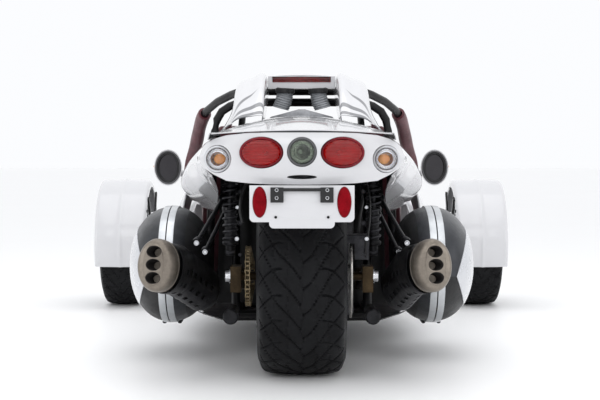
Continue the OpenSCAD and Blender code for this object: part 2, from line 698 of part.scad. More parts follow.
wing_w = 320;
wing_bottom = 542;
holder_top = 654;
corner = 14;
module rounded_plate(w, z0, z1, r) {
  translate([-w / 2, 0, z0 + r]) cube([w, holder_t, z1 - z0 - r]);
  translate([-w / 2 + r, 0, z0]) cube([w - 2 * r, holder_t, r + 1]);
  for (s = [-1, 1])
    translate([s * (w / 2 - r), holder_t, z0 + r]) rotate([90, 0, 0]) cylinder(h = holder_t, r = r);
}
module plate_holder() {
  color("white") difference() {
    translate([0, holder_y, 0]) union() {
      rounded_plate(wing_w, wing_bottom, holder_top, corner);
      rounded_plate(plate_w, plate_bottom, holder_top, corner);
      translate([-60, holder_t, holder_top - 40]) cube([120, 26, 36]);
    }
    for (s = [-1, 1])
      translate([s * plate_screw_gap / 2, holder_y - 30, plate_screw_z]) rotate([-90, 0, 0])
        cylinder(h = 60, d = plate_screw_d);
    for (s = [-1, 1])
      translate([s * reflector_x, holder_y - 1, reflector_z]) rotate([-90, 0, 0])
        cylinder(h = 60, d = 10 + 2 * touch);
  }
}
reflector_x = 129;
reflector_z = 603;
module red_reflectors() {
  color("#a01018") both_sides() {
    mesh() intersection() {
      egg([reflector_x, holder_y - touch, reflector_z], [41, 16, 92]);
      translate([0, holder_y - touch - 20, 0]) cube([300, 20, 2000]);
    }
    translate([reflector_x, holder_y - touch, reflector_z]) rotate([-90, 0, 0]) cylinder(h = holder_t,
       d = 10);
  }
}
bracket_z = 636;
module plate_bracket() {
  t = holder_y - rear_end - touch;
  color("#161618") translate([0, rear_end, 0]) union() {
    translate([-82, 0, bracket_z]) cube([164, t, 10]);
    for (s = [-1, 1]) translate([s * 76 - 20, 0, bracket_z - 34]) cube([40, t, 46]);
  }
}
// Roof scoop between the pillars, with its brake lamp at the rear
scoop_net = [
  [[-126, -240, 1034], [-90, -240, 1046], [0, -240, overall_h - 14], [90, -240, 1046], [126, -240, 1034]],
  [[-127, -400, 1036], [-92, -400, 1054], [0, -400, overall_h], [92, -400, 1054], [127, -400, 1036]],
  [[-127, -560, 1034], [-92, -560, 1050], [0, -560, overall_h - 12], [92, -560, 1050], [127, -560, 1034]],
  [[-126, -716, 1028], [-92, -716, 1039], [0, -716, 1042], [92, -716, 1039], [126, -716, 1028]]];
module roof_scoop() { color("white") skin(patch(scoop_net, 9, 14), panel_t); }
brake_y = -752;
module roof_brake_light() {
  color("#f4f4f6") difference() {
    translate([-125, brake_y, 991]) cube([250, 32, 46]);
    translate([-108 - touch, brake_y - 1, 1015 - touch]) cube([216 + 2 * touch, 10 + 1, 20 + 2 * touch]);
  }
  color("#b01018") translate([-108, brake_y - 3, 1015]) cube([216, 13 - touch, 20]);
}

// ---- Mirrors ----
mirror_rows = [[690, 604, 692, 34, 30], [664, 612, 688, 84, 104], [632, 616, 685, 116, 150],
               [596, 617, 684, 128, 166], [566, 617, 684, 130, 168]];
mirror_at = [617, 582, 684];     // middle of the recess floor
mirror_recess = [112, 148];
mirror_glass = [104, 140];
mirror_fn = 24;
module mirror_housings() {
  color("white") both_sides() mesh() {
    difference() {
      loft([for (r = resample(mirror_rows, 9))
        [for (k = [0:mirror_fn - 1]) let (a = 360 * k / mirror_fn)
          [r[1] + r[3] / 2 * sin(a), r[0], r[2] + r[4] / 2 * cos(a)]]]);
      translate(mirror_at) rotate([90, 0, 0]) linear_extrude(height = 60)
        resize(mirror_recess) circle(d = 90, $fn = mirror_fn);
    }
    sweep([[584, 640, 668], [566, 634, 658], [549, 628, 652]], [19, 16, 14], 10);
  }
}
module mirror_glasses() {
  color("#9fb0bb") both_sides() mesh() translate(mirror_at - [0, 3, 0]) rotate([90, 0, 0])
    linear_extrude(height = 3) resize(mirror_glass) circle(d = 70, $fn = mirror_fn);
}

// ---- Luggage cases ----
case_y = -700;
case_z = 336;
case_out = 154;                  // half width of a case
case_seam = 2;                   // gap between the two shells
// A case's outer form, grown by g; its section is an oval squeezed towards both ends
module case_form(g) {
  half = case_l / 2 + g;
  rings = [for (k = [0:12]) let (a = -84 + 168 * k / 12, c = pow(cos(a), 0.72), y = half * sin(a) / sin(84))
    [for (j = [0:27]) let (b = 360 * j / 28)
      [case_x + (case_out + g) * c * sign(sin(b)) * pow(abs(sin(b)), 0.92),
       case_y - y, case_z + (case_h / 2 + g) * c * sign(cos(b)) * pow(abs(cos(b)), 0.92)]]];
  loft(rings);
}
module case_shell(outer_half) {
  side = outer_half ? 1 : -1;
  mesh() intersection() {
    difference() {
      case_form(0);
      case_form(-case_t);
    }
    translate([case_x + side * (case_seam / 2 + 200), case_y, case_z]) cube([400, case_l + 10, 600],
       center = true);
  }
}
foot_x = [-29, 28];
module luggage_case() {
  case_shell(false);
  translate([case_x + foot_x[0] - 7, case_y - 40, case_z - case_h / 2 - 8]) cube([14, 80, 11]);
}
module left_case() { color("#2b2c2f") mirror([1, 0, 0]) luggage_case(); }
module right_case() { color("#2b2c2f") luggage_case(); }
module case_lid() {
  case_shell(true);
  translate([case_x + foot_x[1] - 7, case_y - 40, case_z - case_h / 2 - 8]) cube([14, 80, 11]);
}
module left_case_lid() { color("#b9bbbf") mirror([1, 0, 0]) case_lid(); }
module right_case_lid() { color("#b9bbbf") case_lid(); }

// ---- Exhausts ----
tip_z = 379;
tip_end_y = -1440;
cap = 70;                        // length of an end cap
tip_right = 417;
tip_left = 464;
tip_turn = 17;                   // each end cap faces outwards by this angle
tip_rise = 8;                    // and upwards by this one
muffler_front = [330, -1030, 262];
module muffler_body(x) {
  n = 20;
  d = [sin(tip_turn) * cos(tip_rise), -cos(tip_turn) * cos(tip_rise), sin(tip_rise)];
  end = [x, tip_end_y + cap, tip_z];
  sweep([muffler_front, mix(muffler_front, end, 0.08), end - 130 * d, end - 2 * d],
        [[44, 62], [56, 78], [61, 83], [61, 83]], n);
}
module mufflers() {
  color("#3a3b3e") {
    muffler_body(tip_right);
    mirror([1, 0, 0]) muffler_body(tip_left);
  }
}
module exhaust_tip(x) {
  n = 24;
  color("#8d877c") mesh() translate([x, tip_end_y + cap, tip_z]) rotate([-tip_rise, 0,
     tip_turn]) difference() {
    loft([for (r = [[0, 62, 84], [-16, 67, 88], [-44, 67, 88], [-62, 56, 80], [-66, 37, 69], [-cap, 34, 66]])
      [for (k = [0:n - 1]) [r[1] * sin(360 * k / n), r[0], r[2] * cos(360 * k / n)]]]);
    for (k = [-1:1])
      translate([0, -cap - 5, k * 43]) rotate([-90, 0, 0])
        linear_extrude(height = 60) resize([45, 34]) circle(d = 45, $fn = 20);
  }
}
module exhaust_tips() {
  exhaust_tip(tip_right);
  mirror([1, 0, 0]) exhaust_tip(tip_left);
}

// ---- Power unit ----
module engine() {
  left = sprocket_x + 16;
  color("#303134") translate([left, -846, 158]) cube([190 - left, 460, 460]);
}
module airbox() {
  color("#8b8e92") mesh() union() {
    hull() {
      translate([-150, -880, 640]) cube([300, 240, 200]);
      translate([-112, -866, 860]) cube([224, 200, 24]);
      translate([-12, -860, 893]) cube([24, 180, 18]);
    }
  }
}
module intake_hoses() {
  path = resample([[60, -790, 986], [62, -790, 965], [68, -798, 938], [78, -806, 916]], 10);
  color("#77797c") both_sides() sweep(path, [for (p = path) 30], 12);
}

// ---- Cockpit ----
seat_x = 215;
seat_w = 392;
module seat(side) {
  // Section of the seat in the side view: back, squab and thigh support as one cushion
  rows = [[-252, 860, 56, 0.62], [-234, 700, 88, 0.96], [-192, 500, 110, 1], [-122, 330, 120, 1],
          [-10, 262, 100, 1], [150, 268, 104, 1], [270, 296, 96, 0.96], [312, 300, 60, 0.9]];
  steps = 16;
  n = 20;
  mids = resample([for (r = rows) [side * seat_x, r[0], r[1]]], steps);
  half = resample([for (r = rows) [seat_w / 2 * r[3], r[2] / 2]], steps);
  loft([for (i = [0:steps]) let (d = row_at(mids, i + 1) - row_at(mids, i - 1), w = unit(d), up =
     cross(w, [1, 0, 0]))
    [for (k = [0:n - 1]) let (a = -360 * k / n)
      mids[i] + half[i][0] * sign(cos(a)) * pow(abs(cos(a)), 0.5) * [1, 0, 0]
              + half[i][1] * sign(sin(a)) * pow(abs(sin(a)), 0.7) * up]]);
}
module left_seat() { color("#5b1420") seat(-1); }
module right_seat() { color("#5b1420") seat(1); }
module controls() {
  color("#8c8f93") {
    for (x = [-290, -222, -154]) {
      rod([x, 860, 380], [x, 800, 214], 14);
      translate([x - 26, 776, 176]) cube([52, 12, 62]);
    }
    rod([-320, 862, 386], [-124, 862, 386], 18);
    rod([0, 300, 140], [0, 262, 392], 16);
    translate([0, 262, 410]) sphere(d = 48);
  }
}

lower_frame();
roll_cage();
floor_pan();
nose();
nose_grille();
headlamps();
windscreen();
dashboard();
left_side_pod();
right_side_pod();
rear_cowl();
roof_scoop();
roof_brake_light();
tail_panel();
tail_lamps();
plate_holder();
plate_bracket();
red_reflectors();
rear_fairings();
mirror_housings();
mirror_glasses();
cage_pads();
left_seat();
right_seat();
engine();
airbox();
intake_hoses();
mufflers();
exhaust_tips();
swingarm();
rear_shocks();
rear_caliper();
drive_chain();
wishbones();
front_shocks();
controls();
left_case();
right_case();
left_case_lid();
right_case_lid();
steering_wheel();
steering_rack();
left_knuckle();
right_knuckle();
left_fender();
right_fender();
left_caliper();
right_caliper();
left_front_rim();
right_front_rim();
left_front_tyre();
right_front_tyre();
rear_rim();
rear_tyre();
rear_disc();
rear_sprocket();
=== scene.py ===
# %% [markdown]
# # An open three-wheeled car, dressed for its portrait
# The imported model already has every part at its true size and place. This lesson gives each part
# its finish: it smooths the body panels, cuts the tyre treads, builds the lamps, luggage cases and
# running gear in detail, and mixes every paint, leather, rubber and metal from procedural nodes.

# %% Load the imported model
import json
import math
import bmesh
import bpy
import numpy as np
from mathutils import Matrix, Vector


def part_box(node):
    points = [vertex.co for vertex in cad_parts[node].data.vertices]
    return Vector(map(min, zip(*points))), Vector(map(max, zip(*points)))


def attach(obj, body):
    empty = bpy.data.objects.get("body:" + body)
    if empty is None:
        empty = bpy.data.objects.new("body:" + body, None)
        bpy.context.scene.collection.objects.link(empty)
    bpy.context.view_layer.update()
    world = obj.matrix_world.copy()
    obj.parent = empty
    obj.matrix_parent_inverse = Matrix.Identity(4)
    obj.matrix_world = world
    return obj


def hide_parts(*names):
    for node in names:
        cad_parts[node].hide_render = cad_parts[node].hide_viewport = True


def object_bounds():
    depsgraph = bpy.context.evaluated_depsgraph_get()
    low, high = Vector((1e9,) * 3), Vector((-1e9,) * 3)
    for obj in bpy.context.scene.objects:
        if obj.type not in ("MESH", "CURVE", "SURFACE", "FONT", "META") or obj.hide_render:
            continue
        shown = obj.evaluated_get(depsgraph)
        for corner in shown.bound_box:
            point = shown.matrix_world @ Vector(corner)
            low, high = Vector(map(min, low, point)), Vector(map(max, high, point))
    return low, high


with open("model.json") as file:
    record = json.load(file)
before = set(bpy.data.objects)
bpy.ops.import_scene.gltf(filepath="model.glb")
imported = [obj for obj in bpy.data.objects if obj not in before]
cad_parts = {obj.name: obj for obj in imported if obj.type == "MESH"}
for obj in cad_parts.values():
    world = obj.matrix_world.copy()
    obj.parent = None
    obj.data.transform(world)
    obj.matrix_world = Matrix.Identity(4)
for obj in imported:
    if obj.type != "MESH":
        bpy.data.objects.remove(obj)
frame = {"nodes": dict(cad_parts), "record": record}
cad_box = [list(corner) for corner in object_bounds()]
node_body = {n: b for b, ns in frame["record"]["behaviour"]["bodies"].items() for n in ns}
node_slot = {s["node"]: s["material_slot"] for s in frame["record"]["subparts"]}
print("nodes:", len(node_body), "box:", cad_box)

# %% [markdown]
# ## Camera, floor and light
# The car is seen squarely from behind, at about the height of its tail lamps. A long lens keeps
# the front wheels nearly as large as the rear one. The floor is pale and the light soft, as in a
# studio with large overhead boxes: two side boxes draw the long highlights on the white paint.

# %% Camera
lo = Vector(cad_box[0])
eye_height = 0.756
eye_back = 4.40
camera_data = bpy.data.cameras.new("camera")
camera_data.lens = 87
camera_data.sensor_width = 36
camera = bpy.data.objects.new("camera", camera_data)
camera.location = (-0.006, lo.y - eye_back, eye_height)
camera.rotation_euler = (math.radians(90 - 1.9), 0, 0)
bpy.context.collection.objects.link(camera)
bpy.context.scene.camera = camera


# %% [markdown]
# ## Helpers for objects and edit mode
# Every operator works on what is selected, so each step first selects one object alone. These few
# helpers do that, pick faces by place, and hand each finished piece to the body it rides on.

# %% Small helpers for objects and edit mode
def only(obj):
    """Select this object alone and make it the active one."""
    bpy.ops.object.select_all(action="DESELECT")
    obj.select_set(True)
    bpy.context.view_layer.objects.active = obj


def pick(obj, test):
    """In edit mode, select just the faces that pass the test."""
    mesh = bmesh.from_edit_mesh(obj.data)
    bpy.ops.mesh.select_all(action="DESELECT")
    bpy.context.tool_settings.mesh_select_mode = (False, False, True)
    for face in mesh.faces:
        face.select = test(face)
    mesh.select_flush(True)
    bmesh.update_edit_mesh(obj.data)


def settle(obj, smooth=35):
    """Apply place and modifiers, so that the shape is all in the mesh, and smooth the shading."""
    only(obj)
    for modifier in list(obj.modifiers):
        bpy.ops.object.modifier_apply(modifier=modifier.name)
    bpy.ops.object.transform_apply(location=True, rotation=True, scale=True)
    bpy.ops.object.shade_smooth_by_angle(angle=math.radians(smooth))
    return obj


def outward(obj):
    """Turn all faces of a closed shape outwards."""
    only(obj)
    bpy.ops.object.mode_set(mode="EDIT")
    bpy.ops.mesh.select_all(action="SELECT")
    bpy.ops.mesh.normals_make_consistent(inside=False)
    bpy.ops.object.mode_set(mode="OBJECT")
    return obj


def joined(name, parts):
    """Join several settled pieces into one."""
    only(parts[0])
    for part in parts:
        part.select_set(True)
    if len(parts) > 1:
        bpy.ops.object.join()
    piece = bpy.context.view_layer.objects.active
    piece.name = name
    return piece


def mirrored(obj, name):
    """A copy of a settled piece on the car's other side, with its faces outward."""
    twin = obj.copy()
    twin.data = obj.data.copy()
    twin.name = name
    bpy.context.collection.objects.link(twin)
    twin.data.transform(Matrix.Scale(-1, 4, (1, 0, 0)))
    twin.data.flip_normals()
    return twin


def fit_out(piece, body, finish, replaces=()):
    """Give a piece its material and hand it to the body that it moves with."""
    piece.data.materials.clear()
    piece.data.materials.append(finish)
    if replaces:
        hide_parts(*replaces)
    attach(piece, body)
    return piece


# %% [markdown]
# ## Floor and lights
# A pale floor and large soft lights suit a white body: small lights would burn out the paint. The
# floor could be a curved backdrop, but a plane and a bright surround give the same soft shadow.

# %% Floor and lights
bpy.ops.object.select_all(action="DESELECT")
bpy.ops.mesh.primitive_plane_add(size=120, location=(0, 0, 0))
floor = bpy.context.object
floor.name = "floor"


def area_light(name, place, aim, size, power, colour=(1, 1, 1)):
    data = bpy.data.lights.new(name, "AREA")
    data.shape = "RECTANGLE"
    data.size, data.size_y = size
    data.energy = power
    data.color = colour
    light = bpy.data.objects.new(name, data)
    light.location = place
    light.rotation_euler = (Vector(aim) - Vector(place)).to_track_quat("-Z", "Y").to_euler()
    bpy.context.collection.objects.link(light)
    return light


area_light("top_box", (0, -0.8, 4.2), (0, -0.2, 0.3), (4.2, 5.2), 62)
area_light("rear_box", (0.0, -6.6, 3.6), (0, -1.2, 0.5), (5.0, 1.8), 34)
area_light("left_box", (-5.0, -3.2, 1.9), (0, -0.8, 0.5), (2.4, 2.2), 20)
area_light("right_box", (5.0, -3.2, 1.9), (0, -0.8, 0.5), (2.4, 2.2), 20)
world = bpy.data.worlds.new("studio")
bpy.context.scene.world = world
world.use_nodes = True
world.node_tree.nodes["Background"].inputs["Color"].default_value = (0.97, 0.98, 1.0, 1)
world.node_tree.nodes["Background"].inputs["Strength"].default_value = 1.0
bpy.context.scene.view_settings.view_transform = "Standard"

# %% [markdown]
# ## Finishes
# Real surfaces are never one flat colour. Each finish below mixes two tones over the surface,
# varies its roughness and carries a small relief: the ripple of sprayed paint, the cells of
# leather, the grain of cast metal. The three effects that many finishes share are node groups.

# %% Shared node groups


def new_group(name, inputs, outputs):
    group = bpy.data.node_groups.new(name, "ShaderNodeTree")
    for label, kind, value in inputs:
        socket = group.interface.new_socket(name=label, in_out="INPUT", socket_type=kind)
        if value is not None:
            socket.default_value = value
    for label, kind in outputs:
        group.interface.new_socket(name=label, in_out="OUTPUT", socket_type=kind)
    return group, group.nodes.new("NodeGroupInput"), group.nodes.new("NodeGroupOutput")


def math_node(tree, operation, a, b=None, clamp=False):
    node = tree.nodes.new("ShaderNodeMath")
    node.operation = operation
    node.use_clamp = clamp
    for socket, value in zip(node.inputs, (a, b)):
        if isinstance(value, bpy.types.NodeSocket):
            tree.links.new(value, socket)
        elif value is not None:
            socket.default_value = value
    return node.outputs[0]


def noise(tree, vector, scale, detail=4.0, rough=0.55):
    node = tree.nodes.new("ShaderNodeTexNoise")
    tree.links.new(vector, node.inputs["Vector"])
    for label, value in (("Scale", scale), ("Detail", detail), ("Roughness", rough)):
        if isinstance(value, bpy.types.NodeSocket):
            tree.links.new(value, node.inputs[label])
        else:
            node.inputs[label].default_value = value
    return node.outputs["Fac"]


FLOAT, COLOUR, VECTOR = "NodeSocketFloat", "NodeSocketColor", "NodeSocketVector"

# Two tones and a roughness that drift over the surface
drift, ins, outs = new_group(
    "tone_drift",
    [("Vector", VECTOR, None), ("Scale", FLOAT, 6.0), ("Light", COLOUR, (1, 1, 1, 1)),
     ("Dark", COLOUR, (0, 0, 0, 1)), ("Smooth", FLOAT, 0.3), ("Rough", FLOAT, 0.5)],
    [("Color", COLOUR), ("Roughness", FLOAT)])
broad = noise(drift, ins.outputs["Vector"], ins.outputs["Scale"])
fine = noise(drift, ins.outputs["Vector"], math_node(drift, "MULTIPLY", ins.outputs["Scale"], 9.0))
mask = math_node(drift, "ADD", math_node(drift, "MULTIPLY", broad, 0.7),
                 math_node(drift, "MULTIPLY", fine, 0.3))
spread = drift.nodes.new("ShaderNodeMapRange")
spread.inputs["From Min"].default_value = 0.36
spread.inputs["From Max"].default_value = 0.64
drift.links.new(mask, spread.inputs["Value"])
blend = drift.nodes.new("ShaderNodeMix")
blend.data_type = "RGBA"
drift.links.new(spread.outputs[0], blend.inputs["Factor"])
drift.links.new(ins.outputs["Light"], blend.inputs["A"])
drift.links.new(ins.outputs["Dark"], blend.inputs["B"])
drift.links.new(blend.outputs["Result"], outs.inputs["Color"])
rough = drift.nodes.new("ShaderNodeMapRange")
drift.links.new(spread.outputs[0], rough.inputs["Value"])
drift.links.new(ins.outputs["Smooth"], rough.inputs["To Min"])
drift.links.new(ins.outputs["Rough"], rough.inputs["To Max"])
drift.links.new(rough.outputs[0], outs.inputs["Roughness"])

# Height of a fine grain: soft noise with small pits
grain, ins, outs = new_group(
    "fine_grain", [("Vector", VECTOR, None), ("Scale", FLOAT, 400.0), ("Pits", FLOAT, 0.3)],
    [("Height", FLOAT)])
soft = noise(grain, ins.outputs["Vector"], ins.outputs["Scale"], 3.0)
cells = grain.nodes.new("ShaderNodeTexVoronoi")
grain.links.new(ins.outputs["Vector"], cells.inputs["Vector"])
grain.links.new(ins.outputs["Scale"], cells.inputs["Scale"])
pits = math_node(grain, "MULTIPLY", cells.outputs["Distance"], ins.outputs["Pits"])
grain.links.new(math_node(grain, "ADD", soft, pits), outs.inputs["Height"])

# Long scratches of brushing: noise stretched along one direction by the three scales
brush, ins, outs = new_group(
    "brushed_lines", [("Vector", VECTOR, None), ("Stretch", VECTOR, (400, 400, 8))], [("Height", FLOAT)])
stretch = brush.nodes.new("ShaderNodeVectorMath")
stretch.operation = "MULTIPLY"
brush.links.new(ins.outputs["Vector"], stretch.inputs[0])
brush.links.new(ins.outputs["Stretch"], stretch.inputs[1])
brush.links.new(noise(brush, stretch.outputs[0], 1.0, 5.0, 0.7), outs.inputs["Height"])
print("groups:", drift.name, grain.name, brush.name)

# %% [markdown]
# ## A finish built from the shared effects
# Paint, rubber and metal differ in tone, gloss and relief more than in kind. One function places the
# shared groups in a new material, and each call gives its own tones and scale.

# %% A finish built from the shared effects


def finish(name, light, dark, smooth, rough, scale=6.0, grain_scale=None, pits=0.3, relief=0.0,
           stretch=None, metallic=0.0, coat=0.0, coat_rough=0.05, sheen=0.0, spec=0.5, shift=(0, 0, 0)):
    """Material with two tones, a drifting roughness and a fine relief, all on object coordinates."""
    made = bpy.data.materials.new(name)
    made.use_nodes = True
    tree = made.node_tree
    shader = tree.nodes["Principled BSDF"]
    shader.inputs["Metallic"].default_value = metallic
    shader.inputs["Specular IOR Level"].default_value = spec
    shader.inputs["Coat Weight"].default_value = coat
    shader.inputs["Coat Roughness"].default_value = coat_rough
    shader.inputs["Sheen Weight"].default_value = sheen
    place = tree.nodes.new("ShaderNodeTexCoord")
    centre = tree.nodes.new("ShaderNodeMapping")
    centre.inputs["Location"].default_value = shift
    tree.links.new(place.outputs["Object"], centre.inputs["Vector"])
    tones = tree.nodes.new("ShaderNodeGroup")
    tones.node_tree = drift
    tree.links.new(centre.outputs[0], tones.inputs["Vector"])
    tones.inputs["Scale"].default_value = scale
    tones.inputs["Light"].default_value = (*light, 1)
    tones.inputs["Dark"].default_value = (*dark, 1)
    tones.inputs["Smooth"].default_value = smooth
    tones.inputs["Rough"].default_value = rough
    tree.links.new(tones.outputs["Color"], shader.inputs["Base Color"])
    tree.links.new(tones.outputs["Roughness"], shader.inputs["Roughness"])
    if grain_scale or stretch:
        relief_map = tree.nodes.new("ShaderNodeGroup")
        relief_map.node_tree = brush if stretch else grain
        tree.links.new(centre.outputs[0], relief_map.inputs["Vector"])
        if stretch:
            relief_map.inputs["Stretch"].default_value = stretch
        else:
            relief_map.inputs["Scale"].default_value = grain_scale
            relief_map.inputs["Pits"].default_value = pits
        bump = tree.nodes.new("ShaderNodeBump")
        bump.inputs["Strength"].default_value = 1.0
        bump.inputs["Distance"].default_value = relief
        tree.links.new(relief_map.outputs["Height"], bump.inputs["Height"])
        tree.links.new(bump.outputs[0], shader.inputs["Normal"])
    return made


def glass(name, colour, rough, relief=0.0, ridge_scale=None, axis="X"):
    """Clear or coloured lens plastic, with optional moulded flutes inside."""
    made = bpy.data.materials.new(name)
    made.use_nodes = True
    tree = made.node_tree
    shader = tree.nodes["Principled BSDF"]
    shader.inputs["Transmission Weight"].default_value = 1.0
    shader.inputs["IOR"].default_value = 1.46
    place = tree.nodes.new("ShaderNodeTexCoord")
    tones = tree.nodes.new("ShaderNodeGroup")
    tones.node_tree = drift
    tree.links.new(place.outputs["Object"], tones.inputs["Vector"])
    tones.inputs["Scale"].default_value = 14
    tones.inputs["Light"].default_value = (*colour, 1)
    tones.inputs["Dark"].default_value = (*(0.9 * c for c in colour), 1)
    tones.inputs["Smooth"].default_value = rough
    tones.inputs["Rough"].default_value = rough + 0.04
    tree.links.new(tones.outputs["Color"], shader.inputs["Base Color"])
    tree.links.new(tones.outputs["Roughness"], shader.inputs["Roughness"])
    if ridge_scale:
        flutes = tree.nodes.new("ShaderNodeTexWave")
        flutes.bands_direction = axis
        flutes.inputs["Scale"].default_value = ridge_scale
        tree.links.new(place.outputs["Object"], flutes.inputs["Vector"])
        bump = tree.nodes.new("ShaderNodeBump")
        bump.inputs["Distance"].default_value = relief
        tree.links.new(flutes.outputs["Fac"], bump.inputs["Height"])
        tree.links.new(bump.outputs[0], shader.inputs["Normal"])
    return made


# %% [markdown]
# The paint is a warm white under clear lacquer, with the faint ripple that spraying leaves. Satin
# black covers the tubes, and moulded plastic has a pebbled skin. Leather gets a deep maroon whose
# cells catch the light; rubber is charcoal and dusty. The bare metals differ mostly in roughness
# and in the direction of their scratches.

# %% The paints, plastics and soft finishes
white_paint = finish("white_paint", (0.66, 0.66, 0.675), (0.63, 0.63, 0.65), 0.20, 0.26, scale=2.2,
                     grain_scale=55, pits=0.1, relief=0.00005, coat=0.85, coat_rough=0.04)
pale_paint = finish("pale_paint", (0.62, 0.63, 0.655), (0.56, 0.57, 0.60), 0.24, 0.32, scale=3,
                    grain_scale=60, pits=0.1, relief=0.00004, metallic=0.25, coat=0.6, coat_rough=0.08)
floor_finish = finish("studio_floor", (0.97, 0.97, 0.97), (0.96, 0.96, 0.96), 0.42, 0.52, scale=0.6,
                      grain_scale=120, pits=0.1, relief=0.0001)
satin_black = finish("satin_black", (0.008, 0.008, 0.009), (0.004, 0.004, 0.0045), 0.30, 0.42, scale=9,
                     grain_scale=700, relief=0.00008, coat=0.05, coat_rough=0.3, spec=0.25)
black_plastic = finish("black_plastic", (0.012, 0.012, 0.013), (0.006, 0.006, 0.007), 0.45, 0.62, scale=14,
                       grain_scale=900, pits=0.6, relief=0.00015)
grey_plastic = finish("grey_plastic", (0.10, 0.10, 0.105), (0.07, 0.07, 0.075), 0.42, 0.55, scale=14,
                      grain_scale=900, pits=0.6, relief=0.00012)
maroon_leather = finish("maroon_leather", (0.105, 0.008, 0.018), (0.060, 0.005, 0.011), 0.38, 0.56, scale=16,
                        grain_scale=520, pits=0.9, relief=0.00035, coat=0.12, coat_rough=0.35, sheen=0.1)
tyre_rubber = finish("tyre_rubber", (0.0095, 0.0098, 0.0110), (0.0050, 0.0050, 0.0058), 0.40, 0.60, scale=11,
                     grain_scale=800, pits=0.4, relief=0.0003, spec=0.12)
hose_rubber = finish("hose_rubber", (0.30, 0.31, 0.33), (0.19, 0.20, 0.21), 0.32, 0.5, scale=26,
                     grain_scale=600, relief=0.0001, metallic=0.4)

maroon_thread = finish("maroon_thread", (0.20, 0.03, 0.05), (0.13, 0.02, 0.035), 0.6, 0.8, scale=90,
                       grain_scale=900, relief=0.0001, sheen=0.3)

# %% [markdown]
# ## The metals
# Cast, turned and brushed metal are told apart by the size and direction of their marks. Stretching
# the pattern along one axis gives brushed lines without an image.

# %% The metals
cast_alloy = finish("cast_alloy", (0.27, 0.275, 0.29), (0.15, 0.155, 0.165), 0.30, 0.5, scale=16,
                    grain_scale=420, pits=0.8, relief=0.0003, metallic=0.9)
bright_alloy = finish("bright_alloy", (0.72, 0.73, 0.75), (0.60, 0.61, 0.63), 0.20, 0.34, scale=9,
                      grain_scale=500, relief=0.00003, metallic=1.0)
satin_silver = finish("satin_silver", (0.63, 0.65, 0.67), (0.52, 0.54, 0.56), 0.26, 0.38, scale=7,
                      stretch=(900, 900, 14), relief=0.00006, metallic=0.85, coat=0.3, coat_rough=0.15)
graphite = finish("graphite", (0.045, 0.048, 0.055), (0.008, 0.009, 0.011), 0.32, 0.46, scale=3,
                  stretch=(260, 260, 5), relief=0.0005, metallic=0.5, coat=0.12, coat_rough=0.25)
dark_steel = finish("dark_steel", (0.055, 0.055, 0.060), (0.020, 0.020, 0.023), 0.34, 0.52, scale=18,
                    stretch=(40, 700, 40), relief=0.00008, metallic=0.85)
black_steel = finish("black_steel", (0.020, 0.020, 0.023), (0.008, 0.008, 0.009), 0.32, 0.5, scale=22,
                     grain_scale=500, relief=0.00015, metallic=0.7)
warm_titanium = finish("warm_titanium", (0.285, 0.250, 0.212), (0.185, 0.160, 0.134), 0.34, 0.48, scale=12,
                       stretch=(30, 30, 900), relief=0.00005, metallic=0.8)
soot = finish("soot", (0.035, 0.030, 0.028), (0.012, 0.010, 0.010), 0.7, 0.9, scale=40,
              grain_scale=300, pits=0.5, relief=0.0004)
bronze = finish("bronze", (0.060, 0.040, 0.020), (0.022, 0.015, 0.008), 0.34, 0.5, scale=14,
                grain_scale=420, relief=0.00015, metallic=0.85)
chain_steel = finish("chain_steel", (0.34, 0.27, 0.16), (0.13, 0.10, 0.065), 0.36, 0.6, scale=60,
                     grain_scale=700, relief=0.00015, metallic=0.9)
disc_steel = finish("disc_steel", (0.55, 0.53, 0.50), (0.40, 0.385, 0.36), 0.22, 0.38, scale=20,
                    stretch=(900, 60, 60), relief=0.00005, metallic=1.0)
engine_iron = finish("engine_iron", (0.075, 0.075, 0.08), (0.03, 0.03, 0.033), 0.42, 0.62, scale=18,
                     grain_scale=380, pits=0.8, relief=0.0006, metallic=0.6)
mirror_glass = finish("mirror_glass", (0.060, 0.058, 0.062), (0.048, 0.046, 0.050), 0.02, 0.05, scale=3,
                      metallic=1.0)
reflector_bowl = finish("reflector_bowl", (0.86, 0.86, 0.87), (0.74, 0.74, 0.76), 0.08, 0.16, scale=30,
                        metallic=1.0)

# %% [markdown]
# ## The lenses
# A lens is clear plastic with moulded ridges. The ridges could be cut in the mesh, but they are finer
# than its faces, so a bump drawn along one axis carries them.

# %% The lenses
red_lens = glass("red_lens", (0.78, 0.012, 0.016), 0.03, relief=0.0012, ridge_scale=36, axis="Z")
clear_lens = glass("clear_lens", (0.97, 0.98, 0.99), 0.01)
fluted_lens = glass("fluted_lens", (0.50, 0.56, 0.47), 0.02, relief=0.0008, ridge_scale=60, axis="X")
screen_glass = glass("screen_glass", (0.62, 0.66, 0.68), 0.02)
amber_lens = finish("amber_bulb", (0.95, 0.36, 0.02), (0.85, 0.26, 0.01), 0.1, 0.2, scale=30, coat=1.0)
red_rim = finish("red_rim", (0.20, 0.012, 0.02), (0.14, 0.008, 0.014), 0.2, 0.3, scale=20, coat=0.1,
                 spec=0.15)
red_bowl = finish("red_bowl", (1.0, 0.62, 0.52), (0.80, 0.16, 0.12), 0.25, 0.4, scale=22, spec=0.2,
                  stretch=(1, 1, 9))
reflector_red = finish("reflector_red", (0.26, 0.002, 0.008), (0.14, 0.001, 0.004), 0.16, 0.26, scale=26,
                       grain_scale=240, pits=0.8, relief=0.0004, coat=0.0, spec=0.06)
floor.data.materials.append(floor_finish)
print("materials:", len(bpy.data.materials))

# %% [markdown]
# ## Body panels
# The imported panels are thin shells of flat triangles. A painted panel is smooth, so each one is
# copied, its doubled corners merged, its triangles paired back into quads, its hard rims creased,
# and a subdivision surface rounds what lies between them. The copy stays inside the original.


